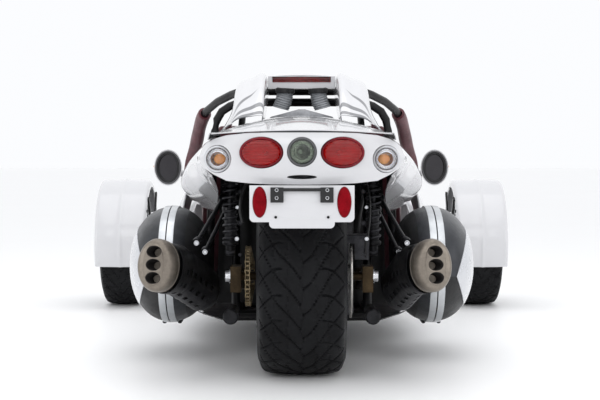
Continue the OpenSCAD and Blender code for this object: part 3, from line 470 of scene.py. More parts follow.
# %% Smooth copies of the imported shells
def merged_copy(node, name):
    source = frame["nodes"][node]
    piece = source.copy()
    piece.data = source.data.copy()
    piece.name = name
    bpy.context.collection.objects.link(piece)
    only(piece)
    bpy.ops.object.mode_set(mode="EDIT")
    bpy.ops.mesh.select_all(action="SELECT")
    bpy.ops.mesh.remove_doubles(threshold=0.00005)
    return piece


def panel(node, material, levels=2, rim=38, ironing=4):
    """Smooth painted shell in place of a packed one."""
    piece = merged_copy(node, node + "_panel")
    bpy.ops.mesh.tris_convert_to_quads(face_threshold=math.radians(60), shape_threshold=math.radians(80))
    bpy.ops.mesh.select_all(action="DESELECT")
    bpy.context.tool_settings.mesh_select_mode = (False, True, False)
    bpy.ops.mesh.edges_select_sharp(sharpness=math.radians(rim))
    bpy.ops.transform.edge_crease(value=1)
    bpy.ops.object.mode_set(mode="OBJECT")
    surface = piece.modifiers.new("round", "SUBSURF")
    surface.levels = surface.render_levels = levels
    only(piece)
    bpy.ops.object.modifier_apply(modifier=surface.name)
    mesh = bmesh.new()
    mesh.from_mesh(piece.data)
    sharp = {v.index for e in mesh.edges for v in e.verts if e.calc_face_angle(0) > math.radians(rim)}
    mesh.free()
    calm = piece.vertex_groups.new(name="calm")
    calm.add([v.index for v in piece.data.vertices if v.index not in sharp], 1, "REPLACE")
    ease = piece.modifiers.new("ease", "SMOOTH")
    ease.factor = 0.5
    ease.iterations = ironing
    ease.vertex_group = "calm"
    settle(piece, 50)
    return fit_out(piece, node_body[node], material, [node])


def dressed(node, material, smooth=32, bevel=0.0):
    """Exact part with smooth rounds, and softened edges where a bevel width is given."""
    piece = merged_copy(node, node + "_finished")
    bpy.ops.mesh.dissolve_limited(angle_limit=math.radians(0.4))
    bpy.ops.object.mode_set(mode="OBJECT")
    if bevel:
        soften = piece.modifiers.new("soften", "BEVEL")
        soften.width = bevel
        soften.segments = 2
        soften.limit_method = "ANGLE"
        soften.angle_limit = math.radians(40)
    settle(piece, smooth)
    return fit_out(piece, node_body[node], material, [node])


panel("nose", white_paint)
for node in ("lower_frame", "roll_cage", "wishbones", "left_knuckle", "right_knuckle"):
    dressed(node, satin_black, smooth=40)
dressed("plate_holder", white_paint, bevel=0.0012)
dressed("floor_pan", black_plastic)
dressed("dashboard", black_plastic, smooth=40)
dressed("nose_grille", black_plastic)
dressed("windscreen", screen_glass, smooth=40)
dressed("engine", engine_iron, bevel=0.012)
dressed("airbox", cast_alloy, bevel=0.006)
dressed("swingarm", bronze, bevel=0.003)
dressed("controls", dark_steel, bevel=0.001)
dressed("steering_wheel", black_plastic)
dressed("steering_rack", dark_steel)
for node in ("left_caliper", "right_caliper"):
    dressed(node, cast_alloy, bevel=0.003)
for node in ("left_front_rim", "right_front_rim", "rear_rim"):
    dressed(node, bright_alloy, smooth=35)
print("panels done")

# %% [markdown]
# ## Tail panel
# The tail is one bowed sheet with a rolled rim and five lamp holes. Fitting a grid to the bowed
# face gives even quads to cut; the holes are cut with boolean cylinders whose rims get a bevel,
# so the paint turns in round each lamp as it does on moulded plastic.

# %% Tail panel
TAIL_Y, TAIL_BOW, TAIL_WALL = -1.716, 1.05, 0.0035
TAIL_ROWS = ((0, 0.814, 0.657), (0.1, 0.814, 0.658), (0.165, 0.813, 0.661), (0.233, 0.806, 0.668),
             (0.275, 0.794, 0.688), (0.305, 0.774, 0.708), (0.319, 0.744, 0.728))
LAMPS = (("red", 0.125, 0.754, 0.133, 0.094), ("signal", 0.262, 0.734, 0.083, 0.083),
         ("reverse", 0.0, 0.756, 0.088, 0.088))


def tail_edges(x):
    across = [r[0] for r in TAIL_ROWS]
    return (float(np.interp(abs(x), across, [r[1] for r in TAIL_ROWS])),
            float(np.interp(abs(x), across, [r[2] for r in TAIL_ROWS])))


def tail_face(x):
    return TAIL_Y + TAIL_BOW * x * x


def add_grid(name, nx, ny):
    bpy.ops.object.select_all(action="DESELECT")
    bpy.ops.mesh.primitive_grid_add(x_subdivisions=nx, y_subdivisions=ny, size=2)
    piece = bpy.context.object
    piece.name = name
    return piece


tail = add_grid("tail_shell", 96, 26)
for v in tail.data.vertices:
    half = TAIL_ROWS[-1][0] * math.sin(v.co.x * math.pi / 2)
    top, low = tail_edges(half)
    height = (v.co.y + 1) / 2
    v.co = (half, tail_face(half) + 0.014 * abs(v.co.y) ** 3, low + height * (top - low))
wall = tail.modifiers.new("wall", "SOLIDIFY")
wall.thickness = TAIL_WALL
wall.offset = 1
settle(tail, 40)
outward(tail)


def oval_rod(name, x, z, width, height, y0, y1, rounds=64):
    bpy.ops.object.select_all(action="DESELECT")
    bpy.ops.mesh.primitive_cylinder_add(vertices=rounds, radius=0.5, depth=1)
    rod = bpy.context.object
    rod.name = name
    for v in rod.data.vertices:
        v.co = (x + v.co.x * width, y0 if v.co.z < 0 else y1, z + v.co.y * height)
    return outward(rod)


def cut_with(piece, tool):
    only(piece)
    cut = piece.modifiers.new("cut", "BOOLEAN")
    cut.operation = "DIFFERENCE"
    cut.solver = "EXACT"
    cut.object = tool
    bpy.ops.object.modifier_apply(modifier=cut.name)
    bpy.data.objects.remove(tool)


for kind, x, z, width, height in LAMPS:
    for side in ((1, -1) if x else (1,)):
        cut_with(tail, oval_rod("lamp_cut", side * x, z, width + 0.004, height + 0.004, -1.78, -1.60))
slot_cut = oval_rod("slot_cut", 0, 0.679, 0.092, 0.013, -1.78, -1.60, 24)
cut_with(tail, slot_cut)
soften = tail.modifiers.new("rim", "BEVEL")
soften.width = 0.0011
soften.segments = 2
soften.limit_method = "ANGLE"
soften.angle_limit = math.radians(50)
settle(tail, 35)
fit_out(tail, "chassis", white_paint, ["tail_panel"])
print("tail faces:", len(tail.data.polygons))

# %% [markdown]
# ## Tail lamps
# Each lamp is a domed lens over a reflector bowl, with a bulb in front of the bowl and a thin rim
# that seals against the paint. A UV sphere gives the even rings that a dome needs; half of it is
# bisected away and the rest pressed to the depth of the lens.


# %% Lamp parts
def dome(name, x, z, width, height, y, depth, rings=20, segments=56):
    """Shell of an oval dome that bulges towards the rear from the plane y."""
    bpy.ops.object.select_all(action="DESELECT")
    bpy.ops.mesh.primitive_uv_sphere_add(segments=segments, ring_count=rings, radius=1)
    bowl = bpy.context.object
    bowl.name = name
    only(bowl)
    bpy.ops.object.mode_set(mode="EDIT")
    bpy.ops.mesh.select_all(action="SELECT")
    bpy.ops.mesh.bisect(plane_co=(0, 0, 0), plane_no=(0, 0, 1), clear_inner=True, use_fill=False)
    bpy.ops.object.mode_set(mode="OBJECT")
    for v in bowl.data.vertices:
        v.co = (x + v.co.x * width / 2, y - v.co.z * depth, z + v.co.y * height / 2)
    return outward(bowl)


def with_wall(piece, thickness, offset=-1):
    wall = piece.modifiers.new("wall", "SOLIDIFY")
    wall.thickness = thickness
    wall.offset = offset
    return settle(piece, 60)


def ring(name, x, z, width, height, y, tube, rounds=64):
    """Oval rim of round section, lying in the plane y."""
    bpy.ops.object.select_all(action="DESELECT")
    bpy.ops.mesh.primitive_torus_add(major_segments=rounds, minor_segments=12, major_radius=1,
                                     minor_radius=0.1)
    rim = bpy.context.object
    rim.name = name
    for v in rim.data.vertices:
        angle = math.atan2(v.co.y, v.co.x)
        out = math.hypot(v.co.x, v.co.y) - 1
        v.co = (x + math.cos(angle) * (width / 2 + out * tube * 10), y + v.co.z * tube * 10,
                z + math.sin(angle) * (height / 2 + out * tube * 10))
    return settle(outward(rim), 60)


LENS = {"red": red_lens, "signal": clear_lens, "reverse": fluted_lens}
for kind, x, z, width, height in LAMPS:
    for side in ((1, -1) if x else (1,)):
        tag = kind + ("_right" if side > 0 else "_left")
        back = tail_face(x) + 0.006
        lens = with_wall(dome("lens_" + tag, side * x, z, width - 0.006, height - 0.006, back, 0.020), 0.0022)
        fit_out(lens, "chassis", LENS[kind])
        rim = ring("rim_" + tag, side * x, z, width - 0.007, height - 0.007, back - 0.004, 0.0042)
        fit_out(rim, "chassis",
                                   {"red": red_rim, "signal": pale_paint, "reverse": grey_plastic}[kind])
        bowl = dome("bowl_" + tag, side * x, z, width - 0.012, height - 0.012, back + 0.002, -0.030)
        bowl_wall = with_wall(bowl, 0.0015)
        fit_out(bowl_wall, "chassis", red_bowl if kind == "red" else reflector_bowl)
        bulb_x = side * (x - (0.012 if kind == "red" else 0.006))
        bulb = dome("bulb_" + tag, bulb_x, z, *((0.038, 0.034) if kind == "signal" else (0.016, 0.016)),
                    back + 0.010, 0.016, 12, 24)
        bulb = with_wall(bulb, 0.0012)
        finish_of = {"red": red_bowl, "signal": amber_lens, "reverse": pale_paint}[kind]
        fit_out(bulb, "chassis", finish_of)
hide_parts("tail_lamps")

# %% [markdown]
# ## Plate holder fittings
# The blank plate hangs from a black pressed bracket held by four round-headed bolts, between two
# red oval reflectors. The plate holder itself comes from the frame.

# %% Bolts, bracket and reflectors


def bolt(name, place, radius=0.006, height=0.004, axis="y", body="chassis", material=None):
    """Round head with a sunk round socket, its flat face outwards."""
    bpy.ops.object.select_all(action="DESELECT")
    bpy.ops.mesh.primitive_cylinder_add(vertices=18, radius=radius, depth=height)
    head = bpy.context.object
    head.name = name
    only(head)
    bpy.ops.object.mode_set(mode="EDIT")
    pick(head, lambda p: p.normal.z > 0.9)
    bpy.ops.mesh.inset(thickness=radius * 0.18)
    bpy.ops.mesh.inset(thickness=radius * 0.28)
    bpy.ops.transform.translate(value=(0, 0, -height * 0.55))
    bpy.ops.object.mode_set(mode="OBJECT")
    turn = {"y": Matrix.Rotation(math.radians(90), 4, "X"), "x": Matrix.Rotation(math.radians(90), 4, "Y"),
            "-x": Matrix.Rotation(math.radians(-90), 4, "Y"), "z": Matrix.Identity(4)}[axis]
    head.data.transform(Matrix.Translation(place) @ turn)
    settle(head, 40)
    return fit_out(head, body, material or dark_steel)


dressed("plate_bracket", black_plastic, bevel=0.002)
for side in (-1, 1):
    for z in (0.640, 0.616):
        bolt("bracket_bolt_%d_%d" % (side, z * 1000), (side * 0.077, -1.7495, z), 0.0055, 0.003,
             material=bright_alloy)
    for row in (0.557,):
        bolt("plate_screw_%d" % side, (side * 0.080, -1.7375, row), 0.0042, 0.004, material=black_steel)
for side in (-1, 1):
    face = with_wall(dome("reflector_%s" % ("left" if side < 0 else "right"), side * 0.129, 0.603,
                          0.041, 0.092, -1.738, 0.0085, 16, 40), 0.003)
    fit_out(face, "chassis", reflector_red)
    rim = ring("reflector_rim_%d" % side, side * 0.129, 0.603, 0.041, 0.092, -1.7385, 0.0016, 48)
    fit_out(rim, "chassis", red_rim)
    back = with_wall(dome("reflector_back_%d" % side, side * 0.129, 0.603, 0.036, 0.086, -1.7384, 0.002,
                          8, 32), 0.001)
    fit_out(back, "chassis", red_rim)
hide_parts("red_reflectors")
print("plate fittings done")

# %% [markdown]
# ## Luggage cases
# Each case is a clam of two moulded shells that close on a silver band. A sphere whose section is
# squared a little gives the shape. It is cut in halves at the seam; the lid also wears a pale outer
# skin, cut by two slanting planes so that its edge pinches in at half height.

# %% Case shells
CASE_X, CASE_Y, CASE_Z = 0.485, -0.700, 0.336
CASE_HALF = (0.154, 0.310, 0.214)
PINCH = (0.553, 0.3125)


def shaped_grid(name, nu, nv, place, merge=True):
    """A grid whose corner at the shares u and v is put at place(u, v)."""
    piece = add_grid(name, nu, nv)
    for v in piece.data.vertices:
        v.co = place((v.co.x + 1) / 2, (v.co.y + 1) / 2)
    if merge:
        only(piece)
        bpy.ops.object.mode_set(mode="EDIT")
        bpy.ops.mesh.select_all(action="SELECT")
        bpy.ops.mesh.remove_doubles(threshold=0.00002)
        bpy.ops.object.mode_set(mode="OBJECT")
        outward(piece)
    return piece


def case_place(grow, u, v):
    along = math.radians(-84 + 168 * u)
    swell = math.cos(along) ** 0.72
    if u < 0.001 or u > 0.999:
        swell = 0.0
    turn = 2 * math.pi * v
    across = math.copysign(abs(math.sin(turn)) ** 0.92, math.sin(turn))
    up = math.copysign(abs(math.cos(turn)) ** 0.92, math.cos(turn))
    return (CASE_X + (CASE_HALF[0] + grow) * swell * across,
            CASE_Y - (CASE_HALF[1] + grow) * math.sin(along) / math.sin(math.radians(84)),
            CASE_Z + (CASE_HALF[2] + grow) * swell * up)


def sliced(piece, place, normal, keep_above=True):
    """Cut a piece with a plane and keep one side of it."""
    only(piece)
    bpy.ops.object.mode_set(mode="EDIT")
    bpy.ops.mesh.select_all(action="SELECT")
    bpy.ops.mesh.bisect(plane_co=place, plane_no=normal, clear_inner=keep_above, clear_outer=not keep_above)
    bpy.ops.object.mode_set(mode="OBJECT")
    return piece


def scored(piece, place, normal):
    """Cut the faces along a plane and keep both sides."""
    only(piece)
    bpy.ops.object.mode_set(mode="EDIT")
    bpy.ops.mesh.select_all(action="SELECT")
    bpy.ops.mesh.bisect(plane_co=place, plane_no=normal)
    bpy.ops.object.mode_set(mode="OBJECT")
    return piece


def case_part(name, grow, planes):
    part = shaped_grid(name, 44, 64, lambda u, v: case_place(grow, u, v))
    for place, normal in planes:
        sliced(part, place, normal)
    return part


for side, word in ((-1, "left"), (1, "right")):
    lid_body = word + "_lid"
    inner = case_part("case_inner", 0, [((CASE_X - 0.001, 0, 0), (-1, 0, 0))])
    inner = with_wall(scored(inner, (CASE_X - 0.066, 0, 0), (1, 0, 0)), 0.004)
    lid = case_part("case_lid", 0, [((CASE_X + 0.001, 0, 0), (1, 0, 0))])
    lid = with_wall(scored(lid, (0, 0, PINCH[1]), (0, 0, 1)), 0.004)
    skin = case_part("case_skin", 0.0028, [((PINCH[0], 0, PINCH[1]), (1, 0, -0.34)),
                                           ((PINCH[0], 0, PINCH[1]), (1, 0, 0.36))])
    skin = with_wall(skin, 0.0026)
    bands = []
    for half, near, far in (("inner", -0.0022, -0.026), ("outer", 0.0022, 0.026)):
        sign = 1 if half == "outer" else -1
        band = case_part("case_band_" + half, 0.0042, [((CASE_X + near, 0, 0), (sign, 0, 0)),
                                                      ((CASE_X + far, 0, 0), (-sign, 0, 0))])
        band = with_wall(band, 0.0050)
        soften = band.modifiers.new("round", "BEVEL")
        soften.width = 0.0016
        soften.segments = 3
        soften.limit_method = "ANGLE"
        bands.append(settle(band, 50))
    for part in (inner, lid, skin, *bands):
        if side < 0:
            part.data.transform(Matrix.Scale(-1, 4, (1, 0, 0)))
            part.data.flip_normals()
        part.name = word + "_" + part.name.split(".")[0]
    fit_out(inner, "chassis", graphite, [word + "_case"])
    fit_out(lid, lid_body, graphite, [word + "_case_lid"])
    lid.data.materials.append(black_plastic)
    for face in lid.data.polygons:
        face.material_index = 1 if face.center.z < PINCH[1] else 0
    inner.data.materials.append(black_plastic)
    for face in inner.data.polygons:
        face.material_index = 1 if abs(face.center.x) < CASE_X - 0.066 else 0
    fit_out(skin, lid_body, pale_paint)
    fit_out(bands[0], "chassis", satin_silver)
    fit_out(bands[1], lid_body, satin_silver)
    for foot, body in ((-0.029, "chassis"), (0.028, lid_body)):
        pad = oval_rod("%s_case_foot_%s" % (word, body), side * (CASE_X + foot),
                       CASE_Z - CASE_HALF[2] - 0.002,
                       0.016, 0.012, CASE_Y - 0.040, CASE_Y + 0.040, 20)
        edge = pad.modifiers.new("round", "BEVEL")
        edge.width = 0.003
        edge.segments = 2
        fit_out(settle(pad, 40), body, black_plastic)
print("cases done")

# %% [markdown]
# ## Exhausts
# A titanium end cap with three stacked outlets closes each muffler. The cap is lofted ring by ring,
# cut with three oval tools and lined with sooty tubes. Round the muffler's lower inner side runs a
# perforated heat shield; its slots are cut through the wall, so that their edges show thickness.

# %% End caps
TIP_Y, TIP_Z = -1.370, 0.379
CAP_ROWS = ((-1, 0.01, 0.01), (-1, 58, 80), (0, 62, 84), (-5, 64.5, 86), (-16, 67, 88), (-42, 67, 88),
            (-54, 62, 84.5), (-62, 56, 80),
            (-65.5, 45, 74), (-66, 38, 69.5), (-68, 35.5, 67.5), (-70, 34, 66), (-70, 29, 62),
            (-70, 0.01, 0.01))


def cap_place(u, v):
    row = u * (len(CAP_ROWS) - 1)
    i = min(int(row), len(CAP_ROWS) - 2)
    y, rx, rz = (CAP_ROWS[i][k] + (row - i) * (CAP_ROWS[i + 1][k] - CAP_ROWS[i][k]) for k in range(3))
    turn = 2 * math.pi * v
    return (0.001 * rx * math.sin(turn), 0.001 * y, 0.001 * rz * math.cos(turn))


def tip_matrix(x):
    return (Matrix.Translation((x, TIP_Y, TIP_Z)) @ Matrix.Rotation(math.radians(17), 4, "Z")
            @ Matrix.Rotation(math.radians(-8), 4, "X"))


def placed(piece, matrix, side):
    piece.data.transform(matrix)
    if side < 0:
        piece.data.transform(Matrix.Scale(-1, 4, (1, 0, 0)))
        piece.data.flip_normals()
    return piece


for side, x, word in ((1, 0.417, "right"), (-1, 0.464, "left")):
    cap = shaped_grid("end_cap_" + word, 2 * (len(CAP_ROWS) - 1), 64, cap_place)
    for k in (-1, 0, 1):
        cut_with(cap, oval_rod("outlet_cut", 0, 0.043 * k, 0.053, 0.0395, -0.09, -0.012, 40))
    edge = cap.modifiers.new("round", "BEVEL")
    edge.width = 0.0012
    edge.segments = 2
    edge.limit_method = "ANGLE"
    edge.angle_limit = math.radians(50)
    settle(cap, 40)
    fit_out(placed(cap, tip_matrix(x), side), "chassis", warm_titanium)
    for k in (-1, 0, 1):
        liner = shaped_grid("outlet_%s_%d" % (word, k + 1), 14, 40, lambda u, v: (
            (0.0262 - 0.006 * u * u) * math.sin(2 * math.pi * v), -0.0690 + 0.050 * u,
            0.043 * k + (0.0194 - 0.005 * u * u) * math.cos(2 * math.pi * v)))
        liner = with_wall(liner, 0.0012)
        fit_out(placed(liner, tip_matrix(x), side), "chassis", soot)
    lip = ring("cap_lip_" + word, 0, 0, 0.126, 0.170, -0.001, 0.0020, 64)
    fit_out(placed(lip, tip_matrix(x), side), "chassis", warm_titanium)
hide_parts("exhaust_tips")

# %% [markdown]
# ## Mufflers and their heat shields
# Each muffler is a tapering body with a slotted sheet wrapped over it. The slots are faces taken out
# of a curved grid before it gets its thickness, which leaves clean edges all round.

# %% Mufflers and their heat shields
MUFFLER_FRONT = Vector((0.330, -1.030, 0.262))
MUFFLER_RX, MUFFLER_RZ = 0.061, 0.083


def along_muffler(x, share, turn, grow):
    """A point on the muffler's surface: share runs from its front end to the cap."""
    lean = Vector((math.sin(math.radians(17)) * math.cos(math.radians(8)),
                   -math.cos(math.radians(17)) * math.cos(math.radians(8)), math.sin(math.radians(8))))
    end = Vector((x, TIP_Y, TIP_Z))
    knots = (MUFFLER_FRONT, MUFFLER_FRONT.lerp(end, 0.08), end - 0.130 * lean, end - 0.002 * lean)
    stops = (0, 0.08, 0.64, 1)
    i = max(k for k in range(3) if share >= stops[k])
    f = (share - stops[i]) / (stops[i + 1] - stops[i])
    centre = knots[i].lerp(knots[i + 1], f)
    ahead = (knots[min(i + 1, 3)] - knots[i]).normalized()
    across = ahead.cross(Vector((0, 0, 1))).normalized() * -1
    up = across.cross(ahead).normalized() * -1
    narrow = float(np.interp(share, stops, (0.74, 0.93, 1, 1)))
    return centre + across * (MUFFLER_RX * narrow + grow) * math.cos(turn) + up * (
        MUFFLER_RZ * narrow + grow) * math.sin(turn)


dressed("mufflers", black_steel, smooth=45)
for side, x, word in ((1, 0.417, "right"), (-1, 0.464, "left")):
    def shield_place(u, v):
        return along_muffler(x, 0.14 + 0.80 * u, math.radians(140 + 165 * v), 0.0065)

    shield = shaped_grid("heat_shield_" + word, 66, 42, shield_place, merge=False)
    only(shield)
    bpy.ops.object.mode_set(mode="EDIT")
    cells = bmesh.from_edit_mesh(shield.data)
    bpy.ops.mesh.select_all(action="DESELECT")
    cells.faces.ensure_lookup_table()
    for face in cells.faces:
        row, column = divmod(face.index, 66)
        in_row = row % 8 in (3, 4, 5) and 6 <= row < 38
        in_slot = (column + (row // 8) * 4) % 9 in (2, 3, 4, 5) and 6 <= column < 60
        face.select = in_row and in_slot
    bmesh.update_edit_mesh(shield.data)
    bpy.ops.mesh.delete(type="FACE")
    bpy.ops.object.mode_set(mode="OBJECT")
    wall = shield.modifiers.new("wall", "SOLIDIFY")
    wall.thickness = 0.002
    wall.offset = 0
    settle(shield, 40)
    outward(shield)
    if side < 0:
        shield.data.transform(Matrix.Scale(-1, 4, (1, 0, 0)))
        shield.data.flip_normals()
    fit_out(shield, "chassis", dark_steel)
print("exhausts done")

# %% [markdown]
# ## Tyres
# A tyre is a profile turned about the axle. Its tread is cut by pressing the vertices of a dense
# grid inwards: swept V grooves, wavy side branches and a few ring grooves, each a smooth valley.

# %% Tyres with a directional tread


def add_tyre(node, body, centre, radius, width, rim, around, across, pitches, side_grooves):
    """Tread and walls of one tyre; the grooves repeat in so many pitches round it."""
    half = width / 2
    outline = [(rim - 0.004, -0.40), (rim + 0.010, -0.435), (rim + 0.030, -0.475), ((rim + radius) / 2, -0.5),
               (radius - 0.045, -0.490), (radius - 0.022, -0.462), (radius - 0.010, -0.425),
               (radius - 0.004, -0.36),
               (radius - 0.0012, -0.25), (radius, -0.10), (radius, 0)]
    outline += [(r, -x) for r, x in reversed(outline[:-1])]
    steps = np.cumsum([0] + [math.hypot(b[0] - a[0], width * (b[1] - a[1])) for a,
                             b in zip(outline, outline[1:])])
    steps /= steps[-1]
    tyre = add_grid(node + "_tread", around, across)
    mesh = tyre.data
    flat = np.empty(len(mesh.vertices) * 3)
    mesh.vertices.foreach_get("co", flat)
    flat = flat.reshape(-1, 3)
    u, v = (flat[:, 0] + 1) / 2, (flat[:, 1] + 1) / 2
    section = np.interp(v, [0, 0.22, 0.78, 1], [0, 0.13, 0.87, 1])
    r = np.interp(section, steps, [o[0] for o in outline])
    x = np.interp(section, steps, [o[1] * width for o in outline])
    share = x / half
    turn = u * 2 * math.pi

    def valley(phase, wide):
        off = np.abs((phase + 0.5) % 1 - 0.5)
        return np.clip(1.25 - off / wide, 0, 1) ** 0.6 * (off < wide * 1.25)

    sweep = pitches * turn / (2 * math.pi)
    bent = 2.5 * np.abs(share) ** 1.2
    sway = 0.09 * np.sin(8 * share)
    main = valley(sweep - bent + sway + 0.18 * np.sign(share), 0.042) * (np.abs(share) > 0.03) * (
        np.abs(share) < 0.95)
    branch = valley(sweep + 0.85 * (np.abs(share) - 0.5) ** 2 * 4 + 0.4, 0.036) * (
        np.abs(share) > 0.42) * (np.abs(share) < 0.97)
    ripple = 0.030 * np.sin(2 * math.pi * sweep) + 0.010 * np.sin(4 * math.pi * sweep)
    rings = sum(valley(0.5 + (np.abs(share + ripple) - at),
                       0.5) * (np.abs(np.abs(share + ripple) - at) < wide)
                for at, wide in ((0.0, 0.018), (0.30, 0.014), (0.58, 0.011)))
    on_tread = np.clip((r - (radius - 0.030)) / 0.010, 0, 1)
    depth = 0.0065 * np.clip(main + side_grooves * branch + np.clip(rings, 0, 1), 0, 1) * on_tread
    wall_rib = 0.0012 * (np.sin((r - rim) * 260) > 0.5) * (1 - on_tread) * (r > rim + 0.02)
    r = r - depth + wall_rib * 0.6
    place = np.stack([centre[0] + x, centre[1] + r * np.sin(turn), centre[2] + r * np.cos(turn)], axis=1)
    mesh.vertices.foreach_set("co", place.ravel())
    only(tyre)
    bpy.ops.object.mode_set(mode="EDIT")
    bpy.ops.mesh.select_all(action="SELECT")
    bpy.ops.mesh.remove_doubles(threshold=0.00001)
    bpy.ops.object.mode_set(mode="OBJECT")
    outward(tyre)
    settle(tyre, 40)
    fit_out(tyre, body, tyre_rubber, [node])
    print(node, "faces:", len(tyre.data.polygons))


def middle(node):
    low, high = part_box(node)
    return [(a + b) / 2 for a, b in zip(low, high)]


add_tyre("rear_tyre", "rear_wheel", middle("rear_tyre"), 0.332, 0.295, 0.2285, 840, 112, 24, 1)
for word in ("left", "right"):
    add_tyre(word + "_front_tyre", word + "_wheel", middle(word + "_front_tyre"), 0.295, 0.205, 0.203,
             640, 72, 26, 0.8)

# %% [markdown]
# ## Coil springs
# A spring is a small circle carried along a helix round its damper. The damper is one black steel
# body turned with a rod, a stop and two seats that hold the spring's ends.


# %% Coilover dampers
def helix(name, low, high, radius, wire, turns):
    """A coil between two points, with its ends drawn flat."""
    axis = Vector(high) - Vector(low)
    length = axis.length
    ahead = axis.normalized()
    side = ahead.orthogonal().normalized()
    other = ahead.cross(side)

    def place(u, v):
        turn = 2 * math.pi * turns * u
        rise = length * (u + 0.6 / turns * (u ** 3 - u) * 0.2)
        out = side * math.cos(turn) + other * math.sin(turn)
        around = 2 * math.pi * v
        return (Vector(low) + ahead * (rise + wire * math.sin(around))
                + out * (radius + wire * math.cos(around)))

    return settle(shaped_grid(name, int(turns * 22), 9, place), 60)


def turned(name, low, high, rows, rounds=28):
    """A round part between two points; rows are (share of the length, radius)."""
    axis = Vector(high) - Vector(low)
    ahead = axis.normalized()
    side = ahead.orthogonal().normalized()
    other = ahead.cross(side)
    rows = [(rows[0][0], 0.00001), *rows, (rows[-1][0], 0.00001)]

    def place(u, v):
        share, radius = rows[round(u * (len(rows) - 1))]
        turn = 2 * math.pi * v
        return Vector(low) + axis * share + (side * math.cos(turn) + other * math.sin(turn)) * radius

    return settle(shaped_grid(name, len(rows) - 1, rounds, place), 32)


DAMPER = ((0, 0.010), (0.03, 0.017), (0.10, 0.017), (0.11, 0.027), (0.14, 0.029), (0.16, 0.027),
          (0.165, 0.0205),
          (0.56, 0.0205), (0.565, 0.016), (0.60, 0.016), (0.605, 0.008), (0.80, 0.008), (0.81, 0.015),
          (0.87, 0.017), (0.875, 0.029), (0.91, 0.029), (0.92, 0.019), (0.97, 0.019), (1, 0.010))


def damper(word, node, low, high, spring, wire, turns, replace):
    axis = Vector(high) - Vector(low)
    shaft = turned(word + "_damper", low, high, DAMPER)
    coil = helix(word + "_spring", Vector(low) + axis * 0.15, Vector(low) + axis * 0.87, spring, wire, turns)
    fit_out(shaft, "chassis", black_steel, [node] if replace else ())
    fit_out(coil, "chassis", dark_steel)
    for share in (0.015, 0.985):
        place = Vector(low) + axis * share
        eye = turned("%s_eye_%d" % (word, share * 100), place - Vector((0.016, 0, 0)),
                     place + Vector((0.016, 0, 0)),
                     ((0, 0.006), (0, 0.012), (0.2, 0.014), (0.8, 0.014), (1, 0.012), (1, 0.006)), 20)
        fit_out(eye, "chassis", dark_steel)


for side, word in ((-1, "left"), (1, "right")):
    damper("rear_" + word, "rear_shocks", (side * 0.246, -1.154, 0.408), (side * 0.246, -1.154, 0.668),
           0.0235, 0.0048, 8, side < 0)
print("rear dampers done")

# %% [markdown]
# ## Intake hoses
# Corrugated hoses rise from the airbox to the roof. A ripple on the radius makes the ribs, and a
# black clamp with a screw holds each upper end.

# %% Hoses and clamps
HOSE_ROUTE = ((0.060, -0.790, 0.986), (0.062, -0.790, 0.965), (0.068, -0.798, 0.938), (0.078, -0.806, 0.916))


def hose_place(u, v):
    places = [k / (len(HOSE_ROUTE) - 1) for k in range(len(HOSE_ROUTE))]
    centre = [float(np.interp(u, places, [p[k] for p in HOSE_ROUTE])) for k in range(3)]
    rib = 0.0022 * (0.5 + 0.5 * math.cos(2 * math.pi * 9 * u)) ** 0.6
    turn = 2 * math.pi * v
    return (centre[0] + (0.0278 + rib) * math.cos(turn), centre[1] + (0.0278 + rib) * math.sin(turn),
            centre[2] + 0.008 * math.cos(turn))


hose = settle(shaped_grid("intake_hose_right", 110, 40, hose_place), 40)
fit_out(hose, "chassis", hose_rubber, ["intake_hoses"])
fit_out(mirrored(hose, "intake_hose_left"), "chassis", hose_rubber)
for side in (-1, 1):
    clamp = turned("hose_clamp_%s" % ("left" if side < 0 else "right"), (side * 0.0612, -0.790, 0.972),
                   (side * 0.0605, -0.790, 0.990),
                   ((0, 0.031), (0, 0.0345), (0.1, 0.036), (0.9, 0.036), (1, 0.0345), (1, 0.031)), 36)
    fit_out(clamp, "chassis", black_plastic)
    bolt("clamp_screw_%d" % side, (side * 0.050, -0.827, 0.981), 0.005, 0.004)
print("hoses done")

# %% [markdown]
# ## Chain, sprocket and brake
# A roller chain is one pair of links repeated along a loop of two arcs and two straights. Sprocket
# teeth stand between the rollers, and the disc is drilled and has a slotted bell.

# %% Chain loop
CHAIN_X, CHAIN_PITCH = -0.182, 0.0159
REAR_AXLE = Vector((0, -1.209, 0.332))
DRIVE_CENTRE = Vector((0, -0.809, 0.300))
R_BIG, R_SMALL = 0.0985, 0.042
span = DRIVE_CENTRE - REAR_AXLE
lean = math.atan2(span.z, span.y)
open_angle = math.acos((R_BIG - R_SMALL) / span.length)


def on_circle(centre, radius, angle):
    return Vector((CHAIN_X, centre.y + radius * math.cos(angle), centre.z + radius * math.sin(angle)))


route = [on_circle(DRIVE_CENTRE, R_SMALL, lean + a) for a in np.linspace(-open_angle, open_angle, 14)]
route += [on_circle(REAR_AXLE, R_BIG, lean + a) for a in np.linspace(open_angle, 2 * math.pi - open_angle,
                                                            60)]
route.append(route[0])
lengths = np.cumsum([0] + [(b - a).length for a, b in zip(route, route[1:])])
links = int(lengths[-1] / CHAIN_PITCH) // 2 * 2


def chain_spot(distance):
    distance %= lengths[-1]
    return Vector([float(np.interp(distance, lengths, [p[k] for p in route])) for k in range(3)])


